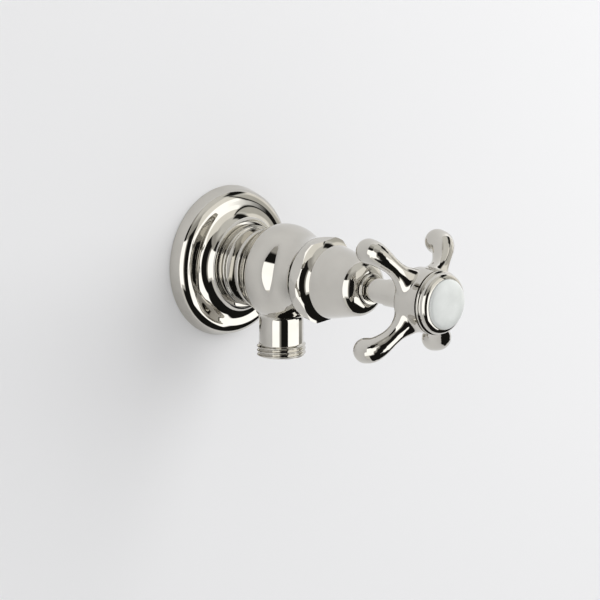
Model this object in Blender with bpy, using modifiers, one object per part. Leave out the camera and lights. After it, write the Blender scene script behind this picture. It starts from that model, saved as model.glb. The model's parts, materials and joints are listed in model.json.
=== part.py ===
"""Angle valve for a wall supply pipe, with a drooping cross handle and a porcelain button.

The wall is the plane y = 0 and the valve stands out of it along -Y, with +Z up.
A turned piece is an outline of (out, radius) points, where out is the distance from the wall
along the axis of the valve. The outline runs down the outer side, from the room to the wall,
and back up the bore.
"""

from math import acos, asin, atan2, copysign, cos, degrees, hypot, pi, radians, sin, sqrt

import bmesh
import bpy
from mathutils import Matrix, Vector

MM = 0.001
GAP = 0.3 * MM  # clearance between pieces that rest on or turn in each other

ROUND_STEPS = 32  # facets round the large plated pieces
OUTLET_STEPS = 28  # facets round the outlet
SMALL_STEPS = 20  # facets round the inner pieces
RING_STEPS = 6  # facets round the section of a rubber ring
OVERRUN = 1.0 * MM  # how far a cutter runs past the piece it cuts

# Escutcheon: a tapered side, a rounding, a flat ring and a cove up to the collar
FLANGE_RADIUS = 32.8 * MM  # at the wall
ROUNDING = 5.0 * MM
ROUNDING_OUT = 2.85 * MM
RIM_TO_ROUNDING = 6.0 * MM  # from the rim in to the middle of the rounding
RING_FLAT = 1.4 * MM  # flat ring between the rounding and the cove
COLLAR_OUT = 12.8 * MM  # front of the collar
COLLAR_RADIUS = 18.7 * MM
COLLAR_EDGE = 0.4 * MM
FLANGE_WALL = 2.4 * MM
BOSS_BACK = 1.8 * MM  # back of the boss that holds the friction ring
BOSS_WALL = 0.9 * MM  # metal outside the groove of the friction ring
FRICTION_SECTION = 2.0 * MM

# Inlet shank and neck of the body
SHANK_RADIUS = 15.5 * MM
SHANK_BACK = 0.6 * MM  # end of the plain shank, just in front of the wall face
INLET_THREAD_RADIUS = 10.3 * MM
INLET_LENGTH = 15.0 * MM  # thread that stands behind the wall face
INLET_BORE_RADIUS = 6.8 * MM
NECK_RADIUS = 17.3 * MM
NECK_WAIST_DEPTH = 1.1 * MM
FIRST_RIDGE = 4.3 * MM
WAIST_LENGTH = 6.0 * MM
SECOND_RIDGE = 2.4 * MM
RIDGE_ROUNDING = 0.6 * MM
NECK_GROOVE = 2.2 * MM

# Body: a ball over the outlet and a throat that carries the bonnet
BODY_RADIUS = 20.6 * MM
BODY_ROUNDING = 13.2 * MM  # radius of the outline of the ball
SHOULDER_RADIUS = 17.8 * MM  # where the ball leaves the neck
BALL_LEAN = 38.0  # steepest slope of the ball on its way to the throat, in degrees
THROAT_FILLET = 2.5 * MM
THROAT_LENGTH = 7.5 * MM  # from the fillet to the start of the flare
THROAT_FLARE = 3.6 * MM
BODY_FRONT_RADIUS = 18.1 * MM
BODY_FRONT_EDGE = 0.3 * MM
CHAMBER_RADIUS = 14.6 * MM
CHAMBER_BACK_WALL = 1.4 * MM  # from the shoulder to the back of the chamber
SEAT_HEIGHT = 1.4 * MM
SEAT_RADIUS = 9.4 * MM
FRONT_BORE_RADIUS = 13.4 * MM
FRONT_BORE_DEPTH = 9.0 * MM
PILOT_LENGTH = 3.2 * MM  # narrow bore that centres the cartridge

# Outlet
OUTLET_OUT = 34.3 * MM  # from the wall to the axis of the outlet
OUTLET_DROP = 36.3 * MM  # from the axis of the valve to the end of the outlet
OUTLET_RADIUS = 9.45 * MM
OUTLET_THREAD_RADIUS = 10.45 * MM
OUTLET_THREAD_LENGTH = 5.8 * MM
OUTLET_BORE_RADIUS = 7.0 * MM
OUTLET_FILLET = 2.6 * MM
THREAD_PITCH = 1.814 * MM  # fourteen turns to the inch, as on half-inch pipe
THREAD_DEPTH = 1.0 * MM
THREAD_FLANK = 0.35  # share of the pitch that each flank of a turn takes

# Bonnet
HEX_LENGTH = 4.3 * MM  # from the seam to the front edge of the hexagon
HEX_APOTHEM = 16.9 * MM
HEX_CORNER_RADIUS = 18.3 * MM  # the corners are turned down to this
HEX_TURN = 5.8  # degrees from +X to the nearest corner
DISH_RADIUS = 7.2 * MM  # radius of the hollow in the front of the hexagon
DISH_INNER = 30.0  # slopes of the hollow at its foot and at the corners, in degrees
DISH_OUTER = 77.0
BELL_STANDOFF = 5.0 * MM  # from the front edge of the hexagon to the edge of the bell
BELL_BASE_RADIUS = 15.4 * MM
BELL_LENGTH = 15.0 * MM
BELL_END_RADIUS = 12.1 * MM
BELL_DOME_RADIUS = 6.5 * MM
BELL_WALL = 2.4 * MM
BELL_MOUTH_LENGTH = 3.2 * MM
SPIGOT_SECTION = 1.8 * MM  # rubber ring of the spigot
SPIGOT_RING_BACK = 2.6 * MM  # from the seam to the middle of that ring

# Cartridge
CARTRIDGE_RADIUS = 9.2 * MM
CARTRIDGE_BORE_RADIUS = 7.4 * MM
CARTRIDGE_FLANGE = 1.3 * MM
CARTRIDGE_NECK_RADIUS = 8.3 * MM
CARTRIDGE_NECK_LENGTH = 11.5 * MM
PILOT_WALL = 1.0 * MM  # how far the pilot stands out from the sleeve
CARTRIDGE_SECTION = 1.5 * MM  # rubber ring of the pilot
WINDOW_WIDTH = 7.0 * MM
WINDOW_LENGTH = 3.8 * MM
SEAL_PROUD = 1.0 * MM  # how far the seat seal stands out of the sleeve
SEAL_DEPTH = 1.8 * MM
SEAL_WALL = 1.6 * MM
DISC_THICKNESS = 2.6 * MM
PORT_ANGLE = 76.0  # degrees round each of the two ports of a disc
PORT_INNER = 1.6 * MM
PORT_WALL = 1.5 * MM
TONGUE_WIDTH = 3.6 * MM
TONGUE_HEIGHT = 1.0 * MM
TONGUE_INSET = 1.0 * MM  # from the edge of the disc to the end of the tongue

# Spindle, gland ring and sleeve
SPINDLE_RADIUS = 5.0 * MM
SPINDLE_NECK_RADIUS = 4.6 * MM
SPINDLE_STEM_RADIUS = 3.4 * MM
HEAD_LENGTH = 3.4 * MM
HEAD_WIDTH = 8.4 * MM
STEM_SECTION = 1.4 * MM  # rubber rings of the spindle
STEM_RING_OUTS = (5.0 * MM, 9.6 * MM)  # from the front of the slip washer
SLIP_WASHER = 0.5 * MM
CLIP_THICKNESS = 0.8 * MM
CLIP_WALL = 2.0 * MM
CLIP_OPENING = 3.0 * MM
GLAND_WALL = 1.0 * MM
GLAND_FLANGE_RADIUS = 6.6 * MM
GLAND_FLANGE = 1.3 * MM
SLEEVE_RADIUS = 5.05 * MM
SLEEVE_LENGTH = 8.3 * MM

# Cross handle
HANDLE_NECK_RADIUS = 5.6 * MM
HANDLE_NECK_LENGTH = 9.5 * MM
HUB_RADIUS = 13.1 * MM
HUB_BACK_DEPTH = 4.7 * MM  # from the end of the neck to the back of the hub
HUB_LENGTH = 12.2 * MM
HUB_BACK_ROUNDING = 1.6 * MM
HUB_FRONT_EDGE = 0.3 * MM
HUB_WEB = 3.5 * MM  # from the back of the hub to the floor of its recess
RECESS_RADIUS = 9.6 * MM
ARM_TURN = -1.8  # degrees from the diagonals
ARM_STEPS = 11
ARM_TIP_STEPS = 3
ARM_TIP_ANGLE = 82.0  # how far the round tip closes, in degrees
ARM_SIDES = 14
ARM_STATIONS = (  # from the axis, forward of the back of the hub, half width, half depth
    (8.5 * MM, 4.6 * MM, 5.4 * MM, 6.0 * MM),
    (12.8 * MM, 4.3 * MM, 4.4 * MM, 5.0 * MM),
    (16.5 * MM, 3.3 * MM, 3.6 * MM, 4.0 * MM),
    (20.5 * MM, 2.0 * MM, 3.6 * MM, 4.3 * MM),
    (24.8 * MM, -0.7 * MM, 4.3 * MM, 4.9 * MM),
    (27.5 * MM, -3.8 * MM, 4.9 * MM, 5.2 * MM),
    (28.4 * MM, -6.7 * MM, 5.2 * MM, 5.2 * MM),
)

# Bezel, button and their fixings
BEZEL_RADIUS = 13.1 * MM
BEZEL_BEAD = 0.75 * MM
BEZEL_WAIST_RADIUS = 12.4 * MM
BEZEL_HEIGHT = 5.1 * MM
BEZEL_RIM = 0.4 * MM  # flat rim round the button
BEZEL_ROUNDING = 1.5 * MM
BEZEL_SPIGOT_LENGTH = 4.2 * MM
BEZEL_SPIGOT_WALL = 1.6 * MM
BUTTON_RADIUS = 10.3 * MM
BUTTON_SEAT_DEPTH = 2.4 * MM
BUTTON_DOME = 2.4 * MM
GASKET_THICKNESS = 0.5 * MM
SCREW_RADIUS = 1.9 * MM
SCREW_LENGTH = 10.0 * MM
SCREW_HEAD_RADIUS = 4.0 * MM
SCREW_HEAD_HEIGHT = 2.6 * MM
SCREW_SLOT_WIDTH = 1.0 * MM
SCREW_HOLE_SPARE = 2.0 * MM  # drilled past the end of the screw
SCREW_WASHER_RADIUS = 5.2 * MM
SCREW_WASHER = 0.8 * MM
SPINDLE_SHORT = 1.0 * MM  # how far the spindle stops below the floor of the recess

# The escutcheon's cove: an arc that leaves the flat ring level and ends at the collar
ROUNDING_FROM_AXIS = FLANGE_RADIUS - RIM_TO_ROUNDING
RING_OUT = ROUNDING_OUT + ROUNDING
COVE_FROM_AXIS = ROUNDING_FROM_AXIS - RING_FLAT
COVE_RISE = COLLAR_OUT - COLLAR_EDGE - RING_OUT
COVE_RUN = COVE_FROM_AXIS - COLLAR_RADIUS
COVE_RADIUS = (COVE_RISE**2 + COVE_RUN**2) / (2 * COVE_RISE)

# Places along the axis, from the wall
NECK_BACK = COLLAR_OUT + GAP
WAIST_BACK = NECK_BACK + FIRST_RIDGE
WAIST_FRONT = WAIST_BACK + WAIST_LENGTH
GROOVE_BACK = WAIST_FRONT + SECOND_RIDGE
SHOULDER_OUT = GROOVE_BACK + NECK_GROOVE
BALL_FROM_AXIS = BODY_RADIUS - BODY_ROUNDING
SHOULDER_ANGLE = acos((SHOULDER_RADIUS - BALL_FROM_AXIS) / BODY_ROUNDING)
BODY_MIDDLE = SHOULDER_OUT + BODY_ROUNDING * sin(SHOULDER_ANGLE)
FILLET_OUT = BODY_MIDDLE + (BODY_ROUNDING + THROAT_FILLET) * sin(radians(BALL_LEAN))
FILLET_FROM_AXIS = BALL_FROM_AXIS + (BODY_ROUNDING + THROAT_FILLET) * cos(radians(BALL_LEAN))
FLARE_BACK = FILLET_OUT + THROAT_LENGTH
BODY_FRONT = FLARE_BACK + THROAT_FLARE
CHAMBER_BACK = SHOULDER_OUT + CHAMBER_BACK_WALL
SEAT_OUT = CHAMBER_BACK + SEAT_HEIGHT
BORE_SHOULDER = BODY_FRONT - FRONT_BORE_DEPTH
CHAMBER_FRONT = BORE_SHOULDER - PILOT_LENGTH
FRICTION_OUT = BOSS_BACK + 2 * GAP + FRICTION_SECTION
PILOT_RING_OUT = (CHAMBER_FRONT + BORE_SHOULDER) / 2
BONNET_BACK = BODY_FRONT + GAP
HEX_FRONT = BONNET_BACK + HEX_LENGTH

FOOT_OUT = SEAT_OUT + SEAL_PROUD
FIXED_DISC_BACK = FOOT_OUT + SEAL_DEPTH + GAP
MOVING_DISC_BACK = FIXED_DISC_BACK + DISC_THICKNESS + GAP
HEAD_BACK = MOVING_DISC_BACK + DISC_THICKNESS + GAP
SLIP_BACK = HEAD_BACK + HEAD_LENGTH + GAP
SLIP_FRONT = SLIP_BACK + SLIP_WASHER
BORE_TOP = SLIP_FRONT + GAP
CARTRIDGE_FLANGE_BACK = BORE_SHOULDER + GAP
CARTRIDGE_FLANGE_FRONT = CARTRIDGE_FLANGE_BACK + CARTRIDGE_FLANGE
SPIGOT_END = CARTRIDGE_FLANGE_FRONT + GAP
CARTRIDGE_FRONT = CARTRIDGE_FLANGE_FRONT + CARTRIDGE_NECK_LENGTH
CLIP_BACK = CARTRIDGE_FRONT + GAP
CLIP_FRONT = CLIP_BACK + CLIP_THICKNESS

# Radii that follow from a fit
PILOT_RADIUS = CARTRIDGE_RADIUS + PILOT_WALL
SPIGOT_RADIUS = FRONT_BORE_RADIUS - GAP
SPINDLE_BORE = SPINDLE_RADIUS + GAP
BONNET_BORE = CARTRIDGE_NECK_RADIUS + 2 * GAP
GLAND_BORE = SPINDLE_NECK_RADIUS + GAP
GLAND_RADIUS = GLAND_BORE + GLAND_WALL
BELL_MOUTH_RADIUS = GLAND_RADIUS + GAP
STEM_BORE = SPINDLE_STEM_RADIUS + GAP
HEAD_RADIUS = CARTRIDGE_BORE_RADIUS - GAP

# The hollow of the hexagon, and the bell: a cone and a dome that is tangent to it
DISH_CENTRE_RADIUS = HEX_CORNER_RADIUS + DISH_RADIUS * cos(radians(DISH_OUTER))
DISH_CENTRE_OUT = HEX_FRONT + DISH_RADIUS * sin(radians(DISH_OUTER))
BELL_TILT = atan2(BELL_BASE_RADIUS - BELL_END_RADIUS, BELL_LENGTH)
BELL_BASE_OUT = HEX_FRONT + BELL_STANDOFF
BELL_END_OUT = BELL_BASE_OUT + BELL_LENGTH
DOME_CENTRE_OUT = BELL_END_OUT - BELL_DOME_RADIUS * sin(BELL_TILT)
DOME_CENTRE_RADIUS = BELL_END_RADIUS - BELL_DOME_RADIUS * cos(BELL_TILT)
DOME_RIM = BELL_MOUTH_RADIUS + 2 * GAP
DOME_STOP = acos(max(-1.0, min(1.0, (DOME_RIM - DOME_CENTRE_RADIUS) / BELL_DOME_RADIUS)))
BELL_FRONT = DOME_CENTRE_OUT + BELL_DOME_RADIUS * sin(DOME_STOP)

GLAND_BACK = BELL_FRONT + GAP
GLAND_FRONT = GLAND_BACK + GLAND_FLANGE
SLEEVE_BACK = GLAND_FRONT + GAP
SLEEVE_FRONT = SLEEVE_BACK + SLEEVE_LENGTH
HANDLE_BACK = SLEEVE_FRONT + GAP
HANDLE_NECK_FRONT = HANDLE_BACK + HANDLE_NECK_LENGTH
HUB_BACK = HANDLE_NECK_FRONT + HUB_BACK_DEPTH
HUB_FRONT = HUB_BACK + HUB_LENGTH
RECESS_FLOOR = HUB_BACK + HUB_WEB
SPINDLE_END = RECESS_FLOOR - SPINDLE_SHORT
SCREW_WASHER_BACK = RECESS_FLOOR + GAP
SCREW_HEAD_BACK = SCREW_WASHER_BACK + SCREW_WASHER + GAP
BEZEL_BACK = HUB_FRONT + GAP
BEZEL_FRONT = BEZEL_BACK + BEZEL_HEIGHT
BUTTON_SEAT = BEZEL_FRONT - BUTTON_SEAT_DEPTH
GASKET_BACK = BUTTON_SEAT + GAP
BUTTON_BACK = GASKET_BACK + GASKET_THICKNESS + GAP


def clear_scene():
    for thing in list(bpy.data.objects):
        bpy.data.objects.remove(thing, do_unlink=True)


def new_collection(name):
    collection = bpy.data.collections.new(name)
    bpy.context.scene.collection.children.link(collection)
    return collection


def new_material(name, colour, metallic, roughness):
    material = bpy.data.materials.new(name)
    material.use_nodes = True
    shader = material.node_tree.nodes["Principled BSDF"]
    shader.inputs["Base Color"].default_value = (*colour, 1.0)
    shader.inputs["Metallic"].default_value = metallic
    shader.inputs["Roughness"].default_value = roughness
    return material


def new_empty(name, parent=None, rotation=(0.0, 0.0, 0.0)):
    empty = bpy.data.objects.new(name, None)
    empty.rotation_euler = rotation
    empty.parent = parent
    PARTS.objects.link(empty)
    return empty


def add_object(name, mesh, material, parent, cutter=False):
    """An object of this mesh under its parent: a piece, or a helper that only cuts or joins."""
    piece = bpy.data.objects.new(name, mesh)
    piece.parent = parent
    if cutter:
        CUTTERS.objects.link(piece)
        piece.hide_render = True
        piece.display_type = "WIRE"
    else:
        PARTS.objects.link(piece)
        mesh.materials.append(material)
        mesh.shade_smooth()
        mesh.set_sharp_from_angle(angle=radians(30))
    return piece


def arc(centre, radius, start, stop, steps):
    """Points round a centre, at 0 degrees outwards from the axis and at 90 towards the room."""
    points = []
    for step in range(steps + 1):
        angle = radians(start + (stop - start) * step / steps)
        points.append((centre[0] + radius * sin(angle), centre[1] + radius * cos(angle)))
    return points


def ring_outline(back, front, inner, outer):
    """A ring of square section."""
    return [(front, inner), (front, outer), (back, outer), (back, inner)]


def turned(name, outline, material, parent, steps=ROUND_STEPS, closed=True, cutter=False):
    """A piece turned round its local Z axis from an outline of (out, radius) points."""
    mesh = bpy.data.meshes.new(name)
    count = len(outline)
    edges = [(i, i + 1) for i in range(count - 1)]
    if closed:
        edges.append((count - 1, 0))
    mesh.from_pydata([(radius, 0.0, out) for out, radius in outline], edges, [])
    piece = add_object(name, mesh, material, parent, cutter)
    screw = piece.modifiers.new("turn", "SCREW")
    screw.axis = "Z"
    screw.angle = 2 * pi
    screw.steps = steps
    screw.render_steps = steps
    screw.use_smooth_shade = True
    screw.use_merge_vertices = True
    screw.merge_threshold = 0.001 * MM
    return piece


def rubber_ring(name, out, inner_radius, section, parent, material):
    """A ring of round section, with its middle at this distance from the wall."""
    middle = (out, inner_radius + section / 2)
    outline = arc(middle, section / 2, 0, -360, RING_STEPS)[:-1]
    return turned(name, outline, material, parent, SMALL_STEPS)


def block(name, size, centre, parent):
    """A box for a cut or a join."""
    mesh = bpy.data.meshes.new(name)
    form = bmesh.new()
    bmesh.ops.create_cube(form, size=1.0)
    bmesh.ops.scale(form, vec=size, verts=form.verts)
    bmesh.ops.translate(form, vec=centre, verts=form.verts)
    form.to_mesh(mesh)
    form.free()
    return add_object(name, mesh, None, parent, cutter=True)


def prism(name, sides, bottom_radius, top_radius, bottom, top, parent, turn=0.0):
    """A cone or prism about the local Z axis, with its first corner turned from +X."""
    mesh = bpy.data.meshes.new(name)
    form = bmesh.new()
    bmesh.ops.create_cone(
        form,
        cap_ends=True,
        segments=sides,
        radius1=bottom_radius,
        radius2=top_radius,
        depth=top - bottom,
    )
    bmesh.ops.rotate(form, verts=form.verts, matrix=Matrix.Rotation(radians(turn) - pi / 2, 3, "Z"))
    bmesh.ops.translate(form, vec=(0.0, 0.0, (bottom + top) / 2), verts=form.verts)
    form.to_mesh(mesh)
    form.free()
    return add_object(name, mesh, None, parent, cutter=True)


def boolean(piece, operation, helper):
    modifier = piece.modifiers.new(operation.lower(), "BOOLEAN")
    modifier.operation = operation
    modifier.object = helper
    modifier.solver = "EXACT"


# Fixed pieces


def make_escutcheon():
    cove_start = degrees(atan2(COVE_RADIUS - COVE_RISE, COVE_RUN))
    cove = (RING_OUT + COVE_RADIUS, COVE_FROM_AXIS)
    rounding = (ROUNDING_OUT, ROUNDING_FROM_AXIS)
    reach = hypot(RIM_TO_ROUNDING, ROUNDING_OUT)
    taper = degrees(acos(ROUNDING / reach) - atan2(ROUNDING_OUT, RIM_TO_ROUNDING))
    bore = SHANK_RADIUS + 2 * GAP
    groove = SHANK_RADIUS + 2 * GAP + FRICTION_SECTION
    groove_half = FRICTION_SECTION / 2 + GAP
    floor = RING_OUT - FLANGE_WALL
    outline = [(COLLAR_OUT, bore), (COLLAR_OUT, COLLAR_RADIUS - COLLAR_EDGE)]
    outline += arc(cove, COVE_RADIUS, 180 + cove_start, 270, 6)
    outline += arc(rounding, ROUNDING, 90, taper, 6)
    outline += [
        (0.0, FLANGE_RADIUS),
        (0.0, FLANGE_RADIUS - FLANGE_WALL),
        (ROUNDING_OUT, ROUNDING_FROM_AXIS + ROUNDING - FLANGE_WALL),
        (floor, ROUNDING_FROM_AXIS),
        (floor, groove + BOSS_WALL),
        (BOSS_BACK, groove + BOSS_WALL),
        (BOSS_BACK, bore),
        (FRICTION_OUT - groove_half, bore),
        (FRICTION_OUT - groove_half, groove),
        (FRICTION_OUT + groove_half, groove),
        (FRICTION_OUT + groove_half, bore),
    ]
    turned("escutcheon", outline, PLATE, AXIS)


def make_valve_body():
    waist = NECK_RADIUS - NECK_WAIST_DEPTH
    soft = RIDGE_ROUNDING
    outline = [
        (BODY_FRONT, FRONT_BORE_RADIUS),
        (BODY_FRONT, BODY_FRONT_RADIUS - BODY_FRONT_EDGE),
        (BODY_FRONT - BODY_FRONT_EDGE, BODY_FRONT_RADIUS),
        (BODY_FRONT - THROAT_FLARE / 2, FILLET_FROM_AXIS - THROAT_FILLET + 2 * BODY_FRONT_EDGE),
        (FLARE_BACK, FILLET_FROM_AXIS - THROAT_FILLET + GAP / 2),
    ]
    outline += arc((FILLET_OUT, FILLET_FROM_AXIS), THROAT_FILLET, 180, 180 + BALL_LEAN, 3)
    shoulder = -degrees(SHOULDER_ANGLE)
    outline += arc((BODY_MIDDLE, BALL_FROM_AXIS), BODY_ROUNDING, BALL_LEAN, shoulder, 10)
    outline += [
        (SHOULDER_OUT, waist + soft),
        ((SHOULDER_OUT + GROOVE_BACK) / 2, waist),
        (GROOVE_BACK, waist + soft),
    ]
    outline += arc((GROOVE_BACK - soft, NECK_RADIUS - soft), soft, 60, 0, 2)
    outline += arc((WAIST_FRONT + soft, NECK_RADIUS - soft), soft, 0, -60, 2)
    outline += [
        (WAIST_FRONT, waist + soft / 2),
        (WAIST_FRONT - soft, waist),
        (WAIST_BACK + 2 * soft, waist),
        (WAIST_BACK + soft / 2, waist + soft / 2),
    ]
    outline += arc((WAIST_BACK - soft, NECK_RADIUS - soft), soft, 60, 0, 2)
    outline += [
        (NECK_BACK + soft, NECK_RADIUS),
        (NECK_BACK, NECK_RADIUS - soft),
        (NECK_BACK, SHANK_RADIUS),
        (SHANK_BACK, SHANK_RADIUS),
        (SHANK_BACK, INLET_THREAD_RADIUS - THREAD_DEPTH),
    ]
    outline += thread_outline(-INLET_LENGTH, INLET_LENGTH, INLET_THREAD_RADIUS)[::-1]
    outline += [
        (-INLET_LENGTH, INLET_BORE_RADIUS),
        (SEAT_OUT, INLET_BORE_RADIUS),
        (SEAT_OUT, SEAT_RADIUS),
        (CHAMBER_BACK, SEAT_RADIUS),
        (CHAMBER_BACK, CHAMBER_RADIUS),
        (CHAMBER_FRONT, CHAMBER_RADIUS),
        (CHAMBER_FRONT, PILOT_RADIUS + GAP),
        (BORE_SHOULDER, PILOT_RADIUS + GAP),
        (BORE_SHOULDER, FRONT_BORE_RADIUS),
    ]
    body = turned("valve_body", outline, PLATE, AXIS)
    boolean(body, "UNION", make_outlet_blank())
    boolean(body, "DIFFERENCE", make_outlet_bore())


def thread_outline(end, length, radius):
    """A thread as plain ridges, whole turns of it, from its free end inwards."""
    inwards = copysign(THREAD_PITCH, -end)
    points = [(end, radius - THREAD_DEPTH)]
    for turn in range(int(length / THREAD_PITCH)):
        start = end + turn * inwards
        points += [
            (start + THREAD_FLANK * inwards, radius),
            (start + (1 - THREAD_FLANK) * inwards, radius),
            (start + inwards, radius - THREAD_DEPTH),
        ]
    return points


def make_outlet_blank():
    """The outlet, turned about its own axis, with a fillet that runs onto the round body."""
    fillet_radius = OUTLET_RADIUS + OUTLET_FILLET
    reach = BODY_RADIUS + OUTLET_FILLET
    fillet_drop = sqrt(reach**2 - fillet_radius**2)
    fillet_stop = 180 + degrees(asin(fillet_drop / reach))
    outline = [(OUTLET_DROP, 0.0)]
    outline += thread_outline(OUTLET_DROP, OUTLET_THREAD_LENGTH, OUTLET_THREAD_RADIUS)
    outline += [(OUTLET_DROP - OUTLET_THREAD_LENGTH, OUTLET_RADIUS)]
    outline += arc((fillet_drop, fillet_radius), OUTLET_FILLET, 180, fillet_stop, 4)
    root = outline[-1]
    inner_end = (CHAMBER_RADIUS + root[0]) / 2
    outline += [(inner_end, root[1]), (inner_end, 0.0)]
    return turned(
        "outlet_blank", outline, None, OUTLET_AXIS, OUTLET_STEPS, closed=False, cutter=True
    )


def make_outlet_bore():
    radius = OUTLET_BORE_RADIUS
    bottom = sqrt(CHAMBER_RADIUS**2 - radius**2) - OVERRUN
    top = OUTLET_DROP + OVERRUN
    return prism("outlet_bore", OUTLET_STEPS, radius, radius, bottom, top, OUTLET_AXIS)


def make_bonnet():
    ring_out = BONNET_BACK - SPIGOT_RING_BACK
    ring_half = SPIGOT_SECTION / 2 + GAP
    groove = FRONT_BORE_RADIUS - 2 * GAP - SPIGOT_SECTION
    tilt = degrees(BELL_TILT)
    dome = (DOME_CENTRE_OUT, DOME_CENTRE_RADIUS)
    dish = (DISH_CENTRE_OUT, DISH_CENTRE_RADIUS)
    outline = [(BELL_FRONT, BELL_MOUTH_RADIUS)]
    outline += arc(dome, BELL_DOME_RADIUS, degrees(DOME_STOP), tilt, 6)
    outline += [(BELL_BASE_OUT, BELL_BASE_RADIUS)]
    outline += arc(dish, DISH_RADIUS, 180 + DISH_INNER, 180 + DISH_OUTER, 5)
    outline += [
        (HEX_FRONT - GAP, HEX_CORNER_RADIUS),
        (BONNET_BACK, BODY_FRONT_RADIUS),
        (BONNET_BACK, SPIGOT_RADIUS),
        (ring_out + ring_half, SPIGOT_RADIUS),
        (ring_out + ring_half, groove),
        (ring_out - ring_half, groove),
        (ring_out - ring_half, SPIGOT_RADIUS),
        (SPIGOT_END, SPIGOT_RADIUS),
        (SPIGOT_END, BONNET_BORE),
        (HEX_FRONT, BONNET_BORE),
        (BELL_BASE_OUT, BELL_BASE_RADIUS - BELL_WALL),
        (BELL_END_OUT, BELL_END_RADIUS - BELL_WALL),
        (BELL_FRONT - BELL_MOUTH_LENGTH, BELL_MOUTH_RADIUS),
    ]
    bonnet = turned("bonnet", outline, PLATE, AXIS)
    boolean(bonnet, "DIFFERENCE", make_hex_flats())


def make_hex_flats():
    """What the six flats take off: a disc with a tapered hexagonal hole, round at the seam."""
    taper = (BODY_FRONT_RADIUS - HEX_APOTHEM) / HEX_LENGTH
    margin = DISH_RADIUS / 2
    bottom = BONNET_BACK - margin
    top = HEX_FRONT + margin
    corner = 1 / cos(pi / 6)
    bottom_radius = (BODY_FRONT_RADIUS + taper * margin) * corner
    top_radius = (HEX_APOTHEM - taper * margin) * corner
    outer = bottom_radius + margin
    flats = prism("hex_flats", ROUND_STEPS, outer, outer, bottom, top, AXIS)
    hole = prism(
        "hex_hole",
        6,
        bottom_radius + taper * OVERRUN * corner,
        top_radius - taper * OVERRUN * corner,
        bottom - OVERRUN,
        top + OVERRUN,
        AXIS,
        HEX_TURN,
    )
    boolean(flats, "DIFFERENCE", hole)
    return flats


def make_cartridge_body():
    ring_half = CARTRIDGE_SECTION / 2 + GAP
    groove = PILOT_RADIUS - GAP - CARTRIDGE_SECTION
    outline = [
        (CARTRIDGE_FRONT, SPINDLE_BORE),
        (CARTRIDGE_FRONT, CARTRIDGE_NECK_RADIUS),
        (CARTRIDGE_FLANGE_FRONT, CARTRIDGE_NECK_RADIUS),
        (CARTRIDGE_FLANGE_FRONT, FRONT_BORE_RADIUS - 2 * GAP),
        (CARTRIDGE_FLANGE_BACK, FRONT_BORE_RADIUS - 2 * GAP),
        (CARTRIDGE_FLANGE_BACK, PILOT_RADIUS),
        (PILOT_RING_OUT + ring_half, PILOT_RADIUS),
        (PILOT_RING_OUT + ring_half, groove),
        (PILOT_RING_OUT - ring_half, groove),
        (PILOT_RING_OUT - ring_half, PILOT_RADIUS),
        (CHAMBER_FRONT, PILOT_RADIUS),
        (CHAMBER_FRONT, CARTRIDGE_RADIUS),
        (FOOT_OUT, CARTRIDGE_RADIUS),
        (FOOT_OUT, CARTRIDGE_BORE_RADIUS),
        (BORE_TOP, CARTRIDGE_BORE_RADIUS),
        (BORE_TOP, SPINDLE_BORE),
    ]
    sleeve = turned("cartridge_body", outline, BRASS, AXIS, SMALL_STEPS)
    window_out = HEAD_BACK + HEAD_LENGTH / 2
    size = (3 * CARTRIDGE_RADIUS, WINDOW_WIDTH, WINDOW_LENGTH)
    boolean(sleeve, "DIFFERENCE", block("cartridge_windows", size, (0.0, 0.0, window_out), AXIS))


def make_disc(name, back, first_port, parent):
    """A ceramic disc with two opposite sector ports, the first at this angle from +X."""
    front = back + DISC_THICKNESS
    outline = [(front, 0.0), (front, HEAD_RADIUS), (back, HEAD_RADIUS), (back, 0.0)]
    disc = turned(name, outline, CERAMIC, parent, SMALL_STEPS, closed=False)
    for side in (0, 1):
        port = make_port(f"{name}_port_{side}", back, first_port + 180 * side, parent)
        boolean(disc, "DIFFERENCE", port)
    return disc


def make_port(name, back, middle, parent):
    """A sector of a ring, standing through a disc."""
    outer = HEAD_RADIUS - PORT_WALL
    steps = 6
    rim = []
    for radius, order in ((PORT_INNER, range(steps + 1)), (outer, range(steps, -1, -1))):
        for step in order:
            angle = radians(middle - PORT_ANGLE / 2 + PORT_ANGLE * step / steps)
            rim.append((radius * cos(angle), radius * sin(angle)))
    form = bmesh.new()
    corners = [form.verts.new((x, y, back - OVERRUN)) for x, y in rim]
    face = form.faces.new(corners)
    raised = bmesh.ops.extrude_face_region(form, geom=[face])
    moved = [part for part in raised["geom"] if isinstance(part, bmesh.types.BMVert)]
    bmesh.ops.translate(form, vec=(0.0, 0.0, DISC_THICKNESS + 2 * OVERRUN), verts=moved)
    bmesh.ops.recalc_face_normals(form, faces=form.faces)
    mesh = bpy.data.meshes.new(name)
    form.to_mesh(mesh)
    form.free()
    return add_object(name, mesh, None, parent, cutter=True)


def make_gland_ring():
    outline = [
        (GLAND_FRONT, GLAND_BORE),
        (GLAND_FRONT, GLAND_FLANGE_RADIUS - GLAND_FLANGE / 3),
        (GLAND_FRONT - GLAND_FLANGE / 3, GLAND_FLANGE_RADIUS),
        (GLAND_BACK, GLAND_FLANGE_RADIUS),
        (GLAND_BACK, GLAND_RADIUS),
        (BELL_FRONT - BELL_MOUTH_LENGTH, GLAND_RADIUS),
        (BELL_FRONT - BELL_MOUTH_LENGTH, GLAND_BORE),
    ]
    turned("gland_ring", outline, PLATE, AXIS, SMALL_STEPS)


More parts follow.
